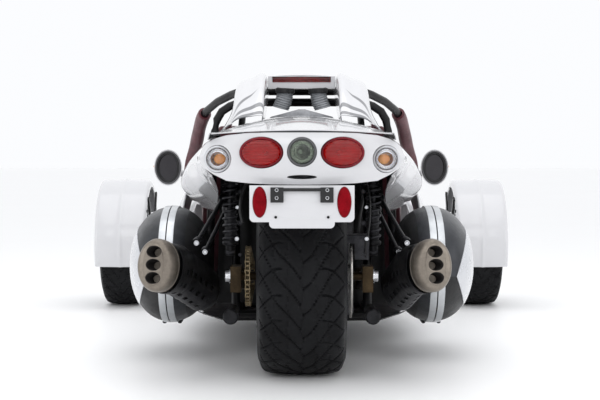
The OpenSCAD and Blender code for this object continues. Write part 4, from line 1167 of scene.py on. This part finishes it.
bpy.ops.object.select_all(action="DESELECT")
bpy.ops.mesh.primitive_cylinder_add(vertices=10, radius=0.0042, depth=0.0155)
link_form = bpy.context.object
link_form.data.transform(Matrix.Rotation(math.radians(90), 4, "Y"))
settle(link_form, 40)
plates = []
for sign in (-1, 1):
    bpy.ops.object.select_all(action="DESELECT")
    bpy.ops.mesh.primitive_cylinder_add(vertices=16, radius=0.0058, depth=0.0016)
    plate = bpy.context.object
    for v in plate.data.vertices:
        v.co.y += math.copysign(CHAIN_PITCH / 2, v.co.y)
    plate.data.transform(Matrix.Translation((sign * 0.0060, 0, 0)) @ Matrix.Rotation(math.radians(90), 4,
                                                            "Y"))
    plates.append(settle(plate, 30))
link_form = joined("chain_link", [link_form, *plates])
copies = []
for k in range(links):
    a, b = chain_spot(k * lengths[-1] / links), chain_spot((k + 1) * lengths[-1] / links)
    link = link_form.copy()
    link.data = link_form.data.copy()
    bpy.context.collection.objects.link(link)
    turn = Matrix.Rotation(math.atan2((b - a).z, (b - a).y), 4, "X")
    widen = Matrix.Scale(1.22 if k % 2 else 1.0, 4, (1, 0, 0))
    link.data.transform(Matrix.Translation((a + b) / 2) @ turn @ widen)
    copies.append(link)
bpy.data.objects.remove(link_form)
chain = joined("chain", copies)
fit_out(chain, "chassis", chain_steel, ["drive_chain"])
print("chain links:", links)

# %% [markdown]
# ## Sprocket and disc
# A grid is bent into a ring whose edge rises and falls once for each tooth, so 38 teeth need no
# copies. The disc and caliper keep their own shapes and only get softer edges.

# %% Sprocket with teeth, and the drilled disc


def toothed(name, x, teeth, root, tip, thick, hub):
    def place(u, v):
        turn = 2 * math.pi * v
        wave = 0.5 + 0.5 * math.cos(teeth * turn)
        edge = root + (tip - root) * wave ** 1.6
        row = round(u * 5)
        out = (hub, hub, edge - 0.002, edge, edge, edge - 0.002)[row] if row else hub
        deep = (-1, -1, -1, -0.5, 0.5, 1)[row]
        return (x + deep * thick / 2, REAR_AXLE.y + out * math.sin(turn), REAR_AXLE.z + out * math.cos(turn))

    wheel = shaped_grid(name, 5, teeth * 8, place)
    return wheel


sprocket = toothed("sprocket", CHAIN_X, 38, 0.0925, 0.0990, 0.0055, 0.040)
with_wall(sprocket, 0.0004)
fit_out(sprocket, "rear_wheel", chain_steel, ["rear_sprocket"])
dressed("rear_disc", disc_steel, bevel=0.0006)
dressed("rear_caliper", dark_steel, bevel=0.004)
for k, (y, z) in enumerate(((-1.285, 0.470), (-1.225, 0.470), (-1.285, 0.405), (-1.225, 0.405))):
    bolt("caliper_bolt_%d" % k, (0.188, y - 0.0001, z), 0.007, 0.006, material=bright_alloy)
print("brake done")

# %% [markdown]
# ## Firewall
# A pressed black sheet between the hoop's legs keeps the engine's heat off the seats. It is
# stiffened by swages, which are long shallow beads pushed into the sheet.

# %% Firewall sheet


def firewall_place(u, v):
    x = -0.340 + 0.680 * u
    z = 0.150 + 0.640 * v
    swage = 0.006 * max(0, math.cos(2 * math.pi * (u * 6))) ** 2 * (0.08 < v < 0.92)
    return (x * (1 - 0.06 * v), -0.338 - swage, z)


firewall = with_wall(shaped_grid("firewall", 96, 24, firewall_place, merge=False), 0.0015)
fit_out(firewall, "chassis", black_plastic)

# %% [markdown]
# ## Rear quarters, pillars and fenders
# Long painted curves show every flat facet. These panels are therefore laid out again as fine grids
# on the same spline rows as the frame's own panels, then given the thickness of the moulding.


# %% Spline sheets
def spline(points, t):
    """Smooth curve through the points; t runs from 0 to their count less one."""
    i = max(0, min(int(t), len(points) - 2))
    f = t - i
    b, c = Vector(points[i]), Vector(points[i + 1])
    a = Vector(points[i - 1]) if i else 2 * b - c
    d = Vector(points[i + 2]) if i + 2 < len(points) else 2 * c - b
    return 0.5 * (2 * b + (c - a) * f + (2 * a - 5 * b + 4 * c - d) * f * f
                  + (3 * b - a - 3 * c + d) * f ** 3)


def spline_sheet(name, net, nu, nv, thick):
    def place(u, v):
        across = [spline(row, v * (len(row) - 1)) for row in net]
        return spline(across, u * (len(across) - 1)) * 0.001

    piece = shaped_grid(name, nu, nv, place, merge=False)
    wall = piece.modifiers.new("wall", "SOLIDIFY")
    wall.thickness = thick
    wall.offset = 0
    settle(piece, 45)
    outward(piece)
    edge = piece.modifiers.new("round", "BEVEL")
    edge.width = thick * 0.3
    edge.segments = 2
    edge.limit_method = "ANGLE"
    edge.angle_limit = math.radians(60)
    return settle(piece, 45)


QUARTER_NET = (((330, -364, 768), (424, -364, 716), (467, -364, 630), (430, -364, 560), (330, -364, 505)),
               ((318, -620, 784), (414, -620, 722), (458, -620, 645), (420, -620, 585), (322, -620, 520)),
               ((301, -950, 800), (372, -950, 752), (412, -950, 694), (380, -950, 632), (302, -950, 560)),
               ((289, -1280, 806), (332, -1280, 774), (352, -1280, 728), (330, -1280, 676),
                (282, -1280, 625)),
               ((288, -1570, 796), (309, -1575, 770), (321, -1588, 736), (306, -1580, 704),
                (284, -1570, 680)))
quarter = spline_sheet("rear_quarter_right", QUARTER_NET, 72, 48, 0.004)
fit_out(quarter, "chassis", white_paint, ["rear_fairings"])
fit_out(mirrored(quarter, "rear_quarter_left"), "chassis", white_paint)

DECK_X = (-284, -225, -130, 0, 130, 225, 284)


def deck_row(y, middle_z, side_z, bow):
    return [(x, y + bow * x * x, middle_z + (side_z - middle_z) * (x / 284) ** 2) for x in DECK_X]


DECK_NET = (deck_row(-925, 884, 824, 0), deck_row(-1150, 878, 820, 0), deck_row(-1400, 862, 816, 0),
            deck_row(-1708, 823, 812, 0.00105))
PILLAR_NET = (
    ((132, -340, 985), (132, -340, 1032), (182, -340, 1026), (231, -340, 1003), (262, -340, 900),
     (324, -340, 780)),
    ((132, -620, 930), (132, -620, 1034), (182, -620, 1026), (232, -620, 1001), (257, -620, 900),
     (314, -620, 796)),
    ((132, -880, 884), (132, -880, 1030), (180, -880, 1022), (231, -880, 996), (251, -880, 900),
     (297, -880, 810)),
    ((132, -1040, 872), (134, -1040, 975), (178, -1040, 968), (226, -1040, 945), (249, -1040, 884),
     (290, -1040, 814)),
    ((134, -1230, 864), (136, -1230, 880), (176, -1230, 876), (216, -1230, 868), (248, -1230, 846),
     (285, -1230, 816)))
SCOOP_NET = (((-126, -240, 1034), (-90, -240, 1046), (0, -240, 1053), (90, -240, 1046), (126, -240, 1034)),
             ((-127, -400, 1036), (-92, -400, 1054), (0, -400, 1066), (92, -400, 1054), (127, -400, 1036)),
             ((-127, -560, 1034), (-92, -560, 1050), (0, -560, 1055), (92, -560, 1050), (127, -560, 1034)),
             ((-126, -716, 1028), (-92, -716, 1039), (0, -716, 1042), (92, -716, 1039), (126, -716, 1028)))
POD_NET = (((400, 558, 655), (472, 558, 565), (503, 558, 422), (480, 558, 250), (405, 558, 114)),
           ((452, 330, 560), (520, 330, 490), (548, 330, 380), (522, 330, 240), (432, 330, 114)),
           ((474, 60, 470), (540, 60, 424), (574, 60, 345), (546, 60, 225), (450, 60, 114)),
           ((466, -180, 505), (532, -180, 445), (566, -180, 350), (540, -180, 225), (445, -180, 114)),
           ((396, -360, 700), (452, -360, 620), (480, -360, 440), (455, -360, 240), (392, -360, 114)))
deck = spline_sheet("rear_deck", DECK_NET, 60, 64, 0.004)
fit_out(deck, "chassis", white_paint, ["rear_cowl"])
pillar = spline_sheet("pillar_right", PILLAR_NET, 64, 80, 0.004)
pod = spline_sheet("side_pod_right", POD_NET, 72, 56, 0.007)
fit_out(mirrored(pod, "side_pod_left"), "chassis", white_paint, ["left_side_pod"])
fit_out(pod, "chassis", white_paint, ["right_side_pod"])
scoop = spline_sheet("roof_scoop_shell", SCOOP_NET, 44, 52, 0.004)
fit_out(scoop, "chassis", white_paint, ["roof_scoop"])

SHOULDER_NET = (((322, -345, 784), (328, -345, 776), (335, -345, 767)),
                ((313, -620, 797), (318, -620, 790), (323, -620, 783)),
                ((290, -950, 813), (297, -950, 806), (303, -950, 799)),
                ((284, -1280, 820), (287, -1280, 812), (291, -1280, 805)),
                ((284, -1570, 817), (288, -1570, 806), (291, -1570, 796)),
                ((284, -1690, 813), (288, -1690, 803), (290, -1690, 792)))
shoulder = spline_sheet("shoulder_right", SHOULDER_NET, 60, 8, 0.003)
fit_out(mirrored(shoulder, "shoulder_left"), "chassis", white_paint)
fit_out(shoulder, "chassis", white_paint)

FENDER_X, FENDER_HALF, WHEEL_Y, WHEEL_Z = 0.867, 0.123, 1.077, 0.295
FENDER_LINE = ((287, 1), (296, 1), (303, 0.998), (309, 0.985), (313, 0.965), (316, 0.94), (318, 0.90),
               (319, 0.8),
               (320.5, 0.6), (321, 0.4), (321.4, 0.2), (322.6, 0.08), (325, 0))
line = FENDER_LINE + tuple((r, -x) for r, x in reversed(FENDER_LINE[:-1]))


def fender_place(u, v):
    angle = math.radians(-16 + 168 * u)
    spot = v * (len(line) - 1)
    radius, across = (float(np.interp(spot, range(len(line)), [q[k] for q in line])) for k in (0, 1))
    radius *= 0.001
    return (FENDER_X + across * (FENDER_HALF - 0.002), WHEEL_Y - radius * math.cos(angle),
            WHEEL_Z + radius * math.sin(angle))


fender = shaped_grid("fender_right", 90, 48, fender_place, merge=False)
wall = fender.modifiers.new("wall", "SOLIDIFY")
wall.thickness = 0.004
wall.offset = 0
settle(fender, 45)
outward(fender)
left_fender = mirrored(fender, "fender_left")
fit_out(fender, "right_steer", white_paint, ["right_fender"])
fit_out(left_fender, "left_steer", white_paint, ["left_fender"])
for side, word in ((-1, "left"), (1, "right")):
    for k, (y, z) in enumerate(((0.833, 0.470), (0.800, 0.425))):
        bolt("fender_bolt_%s_%d" % (word, k), (side * 0.7435, y, z), 0.008, 0.006,
             axis="-x" if side > 0 else "x", body=word + "_steer", material=black_plastic)

# %% [markdown]
# ## Painted fan on the pillars
# A grey fan of tapering spikes spreads from the foot of each pillar. It is only paint, so it is a
# mask in the material: the angle round the fan's foot is folded to and fro to make the spikes, and
# each one narrows as the distance from the foot grows.

# %% Fan mask
fan, fan_in, fan_out = new_group("fan_marks", [("Vector", VECTOR, None)], [("Mask", FLOAT)])
parts = fan.nodes.new("ShaderNodeSeparateXYZ")
fan.links.new(fan_in.outputs["Vector"], parts.inputs[0])
away = math_node(fan, "ADD", parts.outputs["Y"], 1.27)
rise = math_node(fan, "MULTIPLY", math_node(fan, "SUBTRACT", parts.outputs["Z"], 0.795), 1.6)
reach = math_node(fan, "SQRT", math_node(fan, "ADD", math_node(fan, "MULTIPLY", away, away),
                                         math_node(fan, "MULTIPLY", rise, rise)), 0)
bearing = math_node(fan, "ARCTAN2", rise, away)
fold = math_node(fan, "PINGPONG", math_node(fan, "MULTIPLY", bearing, 13.0), 1.0)
limit = math_node(fan, "SUBTRACT", 1.02, math_node(fan, "MULTIPLY", reach, 2.7))
spike = math_node(fan, "MULTIPLY", math_node(fan, "SUBTRACT", limit, fold), 9, True)
fan.links.new(spike, fan_out.inputs["Mask"])

fan_paint = finish("fan_paint", (0.66, 0.66, 0.675), (0.63, 0.63, 0.65), 0.20, 0.26, scale=2.2,
                   grain_scale=55, pits=0.1, relief=0.00005, coat=0.85, coat_rough=0.04)
tree = fan_paint.node_tree
shader = tree.nodes["Principled BSDF"]
base_link = shader.inputs["Base Color"].links[0]
clean = base_link.from_socket
blend = tree.nodes.new("ShaderNodeMix")
blend.data_type = "RGBA"
blend.inputs["B"].default_value = (0.13, 0.133, 0.145, 1)
mask = tree.nodes.new("ShaderNodeGroup")
mask.node_tree = fan
place = tree.nodes.new("ShaderNodeTexCoord")
tree.links.new(place.outputs["Object"], mask.inputs["Vector"])
tree.links.new(mask.outputs["Mask"], blend.inputs["Factor"])
tree.links.new(clean, blend.inputs["A"])
tree.links.new(blend.outputs["Result"], shader.inputs["Base Color"])
fit_out(mirrored(pillar, "pillar_left"), "chassis", fan_paint)
fit_out(pillar, "chassis", fan_paint)
print("fan painted")


# %% [markdown]
# ## Roof light
# The high brake light is a slim red strip let into a white box. Its two bodies come from one frame
# node, so the copy's faces are sorted by place between the two finishes.


# %% Roof light, mirrors
def painted(piece, material, test):
    """Give a second finish to the faces whose corners all pass the test."""
    piece.data.materials.append(material)
    index = len(piece.data.materials) - 1
    for face in piece.data.polygons:
        if all(test(piece.data.vertices[i].co) for i in face.vertices):
            face.material_index = index
    return piece


roof_light = dressed("roof_brake_light", white_paint, bevel=0.0015)
painted(roof_light, red_lens, lambda c: abs(c.x) < 0.1082 and 1.0145 < c.z < 1.0355 and c.y < -0.7400)
MIRROR = (0.617, 0.684)


def in_recess(c):
    return ((abs(c.x) - MIRROR[0]) / 0.060) ** 2 + ((c.z - MIRROR[1]) / 0.078) ** 2 < 1 and c.y < 0.5835


housings = dressed("mirror_housings", white_paint, smooth=50)
painted(housings, black_plastic, in_recess)
dressed("mirror_glasses", mirror_glass, smooth=30)
for side, word in ((-1, "left"), (1, "right")):
    bezel = ring("mirror_bezel_" + word, side * MIRROR[0], MIRROR[1], 0.113, 0.149, 0.5668, 0.0042, 72)
    fit_out(bezel, "chassis", grey_plastic)
    inner = ring("mirror_frame_" + word, side * MIRROR[0], MIRROR[1], 0.098, 0.132, 0.5750, 0.0075, 64)
    fit_out(inner, "chassis", black_plastic)
    marker = with_wall(dome("marker_" + word, 0, 0, 0.030, 0.018, 0, 0.009, 12, 24), 0.002)
    marker.data.transform(Matrix.Translation((side * 0.679, 0.606, MIRROR[1] + 0.004))
                          @ Matrix.Rotation(math.radians(90 * side), 4, "Z"))
    fit_out(outward(marker), "chassis", amber_lens)
print("mirrors done")

# %% [markdown]
# ## Cage pads
# Each pad is a leather sleeve wrapped round the roof tube over foam. The sleeve closes in a welted
# seam on the inner side, with a row of stitches beside it, and its ends are drawn in.

# %% Padded sleeves
ROOF_TUBE = ((254, -200, 1002), (404, 50, 931), (470, 330, 790), (521, 600, 640), (500, 668, 560))


def pad_frame(u):
    t = 1.1 + 1.8 * u
    centre = spline(ROOF_TUBE, t) * 0.001
    ahead = (spline(ROOF_TUBE, t + 0.02) - spline(ROOF_TUBE, t - 0.02)).normalized()
    side = ahead.cross(Vector((0, 0, 1))).normalized()
    return centre, side, side.cross(ahead).normalized()


SEAM = math.radians(150)


def pad_place(u, v):
    inside = min(1, max(0, (u - 0.02) / 0.96))
    centre, side, up = pad_frame(inside)
    turn = 2 * math.pi * v
    off = math.atan2(math.sin(turn - SEAM), math.cos(turn - SEAM))
    radius = 0.0282 + 0.0008 * math.sin(2 * math.pi * 3 * u) - 0.0035 * math.exp(-(off / 0.10) ** 2)
    radius += 0.0018 * math.exp(-((off - 0.24) / 0.10) ** 2)
    draw = min(1, u / 0.03, (1 - u) / 0.03)
    radius = 0.0185 + (radius - 0.0185) * math.sqrt(max(0, 1 - (1 - draw) ** 2))
    return centre + (side * math.cos(turn) + up * math.sin(turn)) * radius


pad = shaped_grid("cage_pad_right", 110, 56, pad_place)
pad = settle(pad, 60)
thread = []
for k in range(64):
    u = 0.05 + 0.90 * k / 63
    centre, side, up = pad_frame(min(1, max(0, (u - 0.02) / 0.96)))
    ahead = centre - pad_frame(min(1, max(0, (u - 0.03) / 0.96)))[0]
    turn = SEAM + 0.38
    spot = centre + (side * math.cos(turn) + up * math.sin(turn)) * 0.0290
    bpy.ops.object.select_all(action="DESELECT")
    bpy.ops.mesh.primitive_ico_sphere_add(subdivisions=1, radius=1)
    stitch = bpy.context.object
    stitch.data.transform(Matrix.Translation(spot) @ ahead.to_track_quat("Z", "Y").to_matrix().to_4x4()
                          @ Matrix.Diagonal((0.0009, 0.0009, 0.0028, 1)))
    thread.append(stitch)
stitching = settle(joined("pad_stitches_right", thread), 60)
for piece, material, name in ((pad, maroon_leather, "cage_pad_left"),
                              (stitching, maroon_thread, "pad_stitches_left")):
    twin = mirrored(piece, name)
    fit_out(piece, "chassis", material, ["cage_pads"] if piece is pad else ())
    fit_out(twin, "chassis", material)
print("pads done")

# %% [markdown]
# ## Seats
# A seat is one moulded cushion under leather: a centre panel with cross channels between two
# bolsters. The section is a squared oval carried along the seat's side view; the seams and channels
# are pressed in along it, and the panels between them are crowned.

# %% Seats
SEAT_ROWS = ((-252, 860, 56, 0.62), (-234, 700, 88, 0.96), (-192, 500, 110, 1), (-122, 330, 120, 1),
             (-10, 262, 100, 1), (150, 268, 104, 1), (270, 296, 96, 0.96), (312, 300, 60, 0.9))
SEAT_X, SEAT_W = 0.215, 0.392
CHANNELS = tuple(0.14 + 0.105 * k for k in range(7))


def seat_place(u, v):
    inner = min(1, max(0, (u - 0.03) / 0.94))
    t = inner * (len(SEAT_ROWS) - 1)
    mids = [(0, r[0], r[1]) for r in SEAT_ROWS]
    sizes = [(r[2], r[3], 0) for r in SEAT_ROWS]
    centre = spline(mids, t) * 0.001
    ahead = (spline(mids, min(t + 0.03, 7)) - spline(mids, max(t - 0.03, 0))).normalized()
    thick, share = spline(sizes, t)[:2]
    up = ahead.cross(Vector((1, 0, 0))).normalized() * -1
    turn = 2 * math.pi * v
    across = math.copysign(abs(math.cos(turn)) ** 0.5, math.cos(turn))
    out = math.copysign(abs(math.sin(turn)) ** 0.7, math.sin(turn))
    draw = math.sqrt(max(0, 1 - (1 - min(1, u / 0.04, (1 - u) / 0.04)) ** 2))
    top = max(0, out) ** 2
    press = 0.011 * math.exp(-((abs(across) - 0.62) / 0.045) ** 2) * top
    if abs(across) < 0.60:
        press += 0.008 * max(math.exp(-((inner - c) / 0.010) ** 2) for c in CHANNELS) * top
    crown = 0.010 * top * math.exp(-((abs(across) - 0.80) / 0.12) ** 2)
    welt = 0.0022 * math.exp(-(math.sin(turn) / 0.07) ** 2)
    half = 0.5 * SEAT_W * share - 0.004 + welt
    return (centre + Vector((1, 0, 0)) * half * across * draw
            + up * ((0.0005 * thick - 0.008) * out * draw - press + crown))


seat = shaped_grid("seat_form", 150, 96, seat_place)
seat = settle(seat, 70)
for side, word in ((-1, "left"), (1, "right")):
    cushion = seat.copy()
    cushion.data = seat.data.copy()
    cushion.name = word + "_seat_cushion"
    bpy.context.collection.objects.link(cushion)
    cushion.data.transform(Matrix.Translation((side * SEAT_X, 0, 0)))
    fit_out(cushion, "chassis", maroon_leather, [word + "_seat"])
bpy.data.objects.remove(seat)
print("seats done")

# %% [markdown]
# ## What hangs behind the wheel
# Between the cases sit muffler hangers, rigid brake pipes and the stubs of the swingarm pins. They
# are dark, but their bolts catch the light and give the space its depth.


# %% Hangers, pipes and stubs
def piped(name, points, radius, rounds=12, steps=60):
    """A rigid round pipe along a smooth curve through the points."""
    def place(u, v):
        t = u * (len(points) - 1)
        centre = spline(points, t)
        ahead = (spline(points, min(t + 0.02, len(points) - 1)) - spline(points,
                                                            max(t - 0.02, 0))).normalized()
        side = ahead.orthogonal().normalized() if abs(ahead.x) > 0.95 else ahead.cross(Vector((1, 0,
                                                            0))).normalized()
        turn = 2 * math.pi * v
        closed = 0.0001 if u in (0, 1) else 1
        return centre + (side * math.cos(turn) + ahead.cross(side) * math.sin(turn)) * radius * closed

    return settle(shaped_grid(name, steps, rounds, place), 50)


def fixed(piece, material):
    return fit_out(piece, "chassis", material)


fixed(piped("brake_pipe", [(0.190, -1.262, 0.480), (0.196, -1.268, 0.540), (0.205, -1.240, 0.600),
                           (0.190, -1.150, 0.655), (0.170, -1.020, 0.690)], 0.0052), black_plastic)
fixed(piped("sensor_pipe", [(0.214, -1.300, 0.400), (0.214, -1.318, 0.440), (0.226, -1.316, 0.520),
                            (0.228, -1.280, 0.600), (0.216, -1.200, 0.690)], 0.0034), black_plastic)
fixed(piped("breather_pipe", [(-0.196, -1.330, 0.520), (-0.204, -1.330, 0.560), (-0.200, -1.310, 0.610),
                              (-0.184, -1.240, 0.655), (-0.170, -1.060, 0.690)], 0.0060), black_plastic)
for side, word in ((-1, "left"), (1, "right")):
    for k, (low, high) in enumerate((((0.352, -1.296, 0.452), (0.270, -1.120, 0.600)),
                                     ((0.330, -1.200, 0.415), (0.262, -1.080, 0.560)))):
        arm = turned("hanger_%s_%d" % (word, k), (side * low[0], low[1], low[2]),
                     (side * high[0], high[1], high[2]),
                     ((0, 0.005), (0, 0.015), (0.03, 0.016), (0.07, 0.013), (0.10, 0.0075), (0.90, 0.0075),
                      (0.93, 0.013), (0.97, 0.016), (1, 0.015), (1, 0.005)), 18)
        fixed(arm, black_steel)
        bolt("hanger_bolt_%s_%d" % (word, k), (side * low[0], low[1] - 0.016, low[2]), 0.0085, 0.006,
             material=bright_alloy)
    stub = turned("pin_stub_" + word, (side * 0.238, -1.330, 0.205), (side * 0.238, -1.080, 0.205),
                  ((0, 0.008), (0, 0.021), (0.02, 0.026), (0.10, 0.027), (0.16, 0.027), (0.18, 0.018),
                   (1, 0.018),
                   (1, 0.008)), 28)
    fixed(stub, black_steel)
    guard = turned("axle_nut_" + word, (side * 0.243, -1.209, 0.332), (side * 0.262, -1.209, 0.332),
                   ((0, 0.010), (0, 0.024), (0.25, 0.024), (0.3, 0.019), (0.9, 0.019), (1, 0.016),
                    (1, 0.008)), 24)
    fixed(guard, bright_alloy)
    for k in range(5):
        bolt("bay_bolt_%s_%d" % (word, k), (side * (0.206 + 0.010 * (k % 2)), -1.345 + 0.012 * k,
                                            0.415 + 0.052 * k),
             0.0055 + 0.0012 * (k % 3), 0.004, material=bright_alloy if k % 2 else dark_steel)
print("bay fittings done")

# %% [markdown]
# ## Finishes for the frame nodes
# Some nodes already have the right shape. They keep it, and a table from slot to material gives each
# one its finish.

# %% Finishes for the frame nodes that stay as they are
KEPT = {"white_paint": white_paint, "black_frame": satin_black, "black_plastic": black_plastic,
        "clear_lens": clear_lens, "tinted_screen": screen_glass, "red_lens": red_lens,
        "maroon_leather": maroon_leather, "engine_metal": engine_iron, "cast_alloy": cast_alloy,
        "hose_rubber": hose_rubber, "dark_steel": black_steel, "warm_steel": warm_titanium,
        "bronze_alloy": bronze, "chain_steel": chain_steel, "disc_steel": disc_steel,
        "case_graphite": graphite, "case_silver": pale_paint, "alloy_wheel": bright_alloy,
        "tyre_rubber": tyre_rubber, "mirror_glass": mirror_glass}
for node, held in frame["nodes"].items():
    for place in held.material_slots:
        place.material = KEPT[node_slot[node]]
print("frame finishes set")
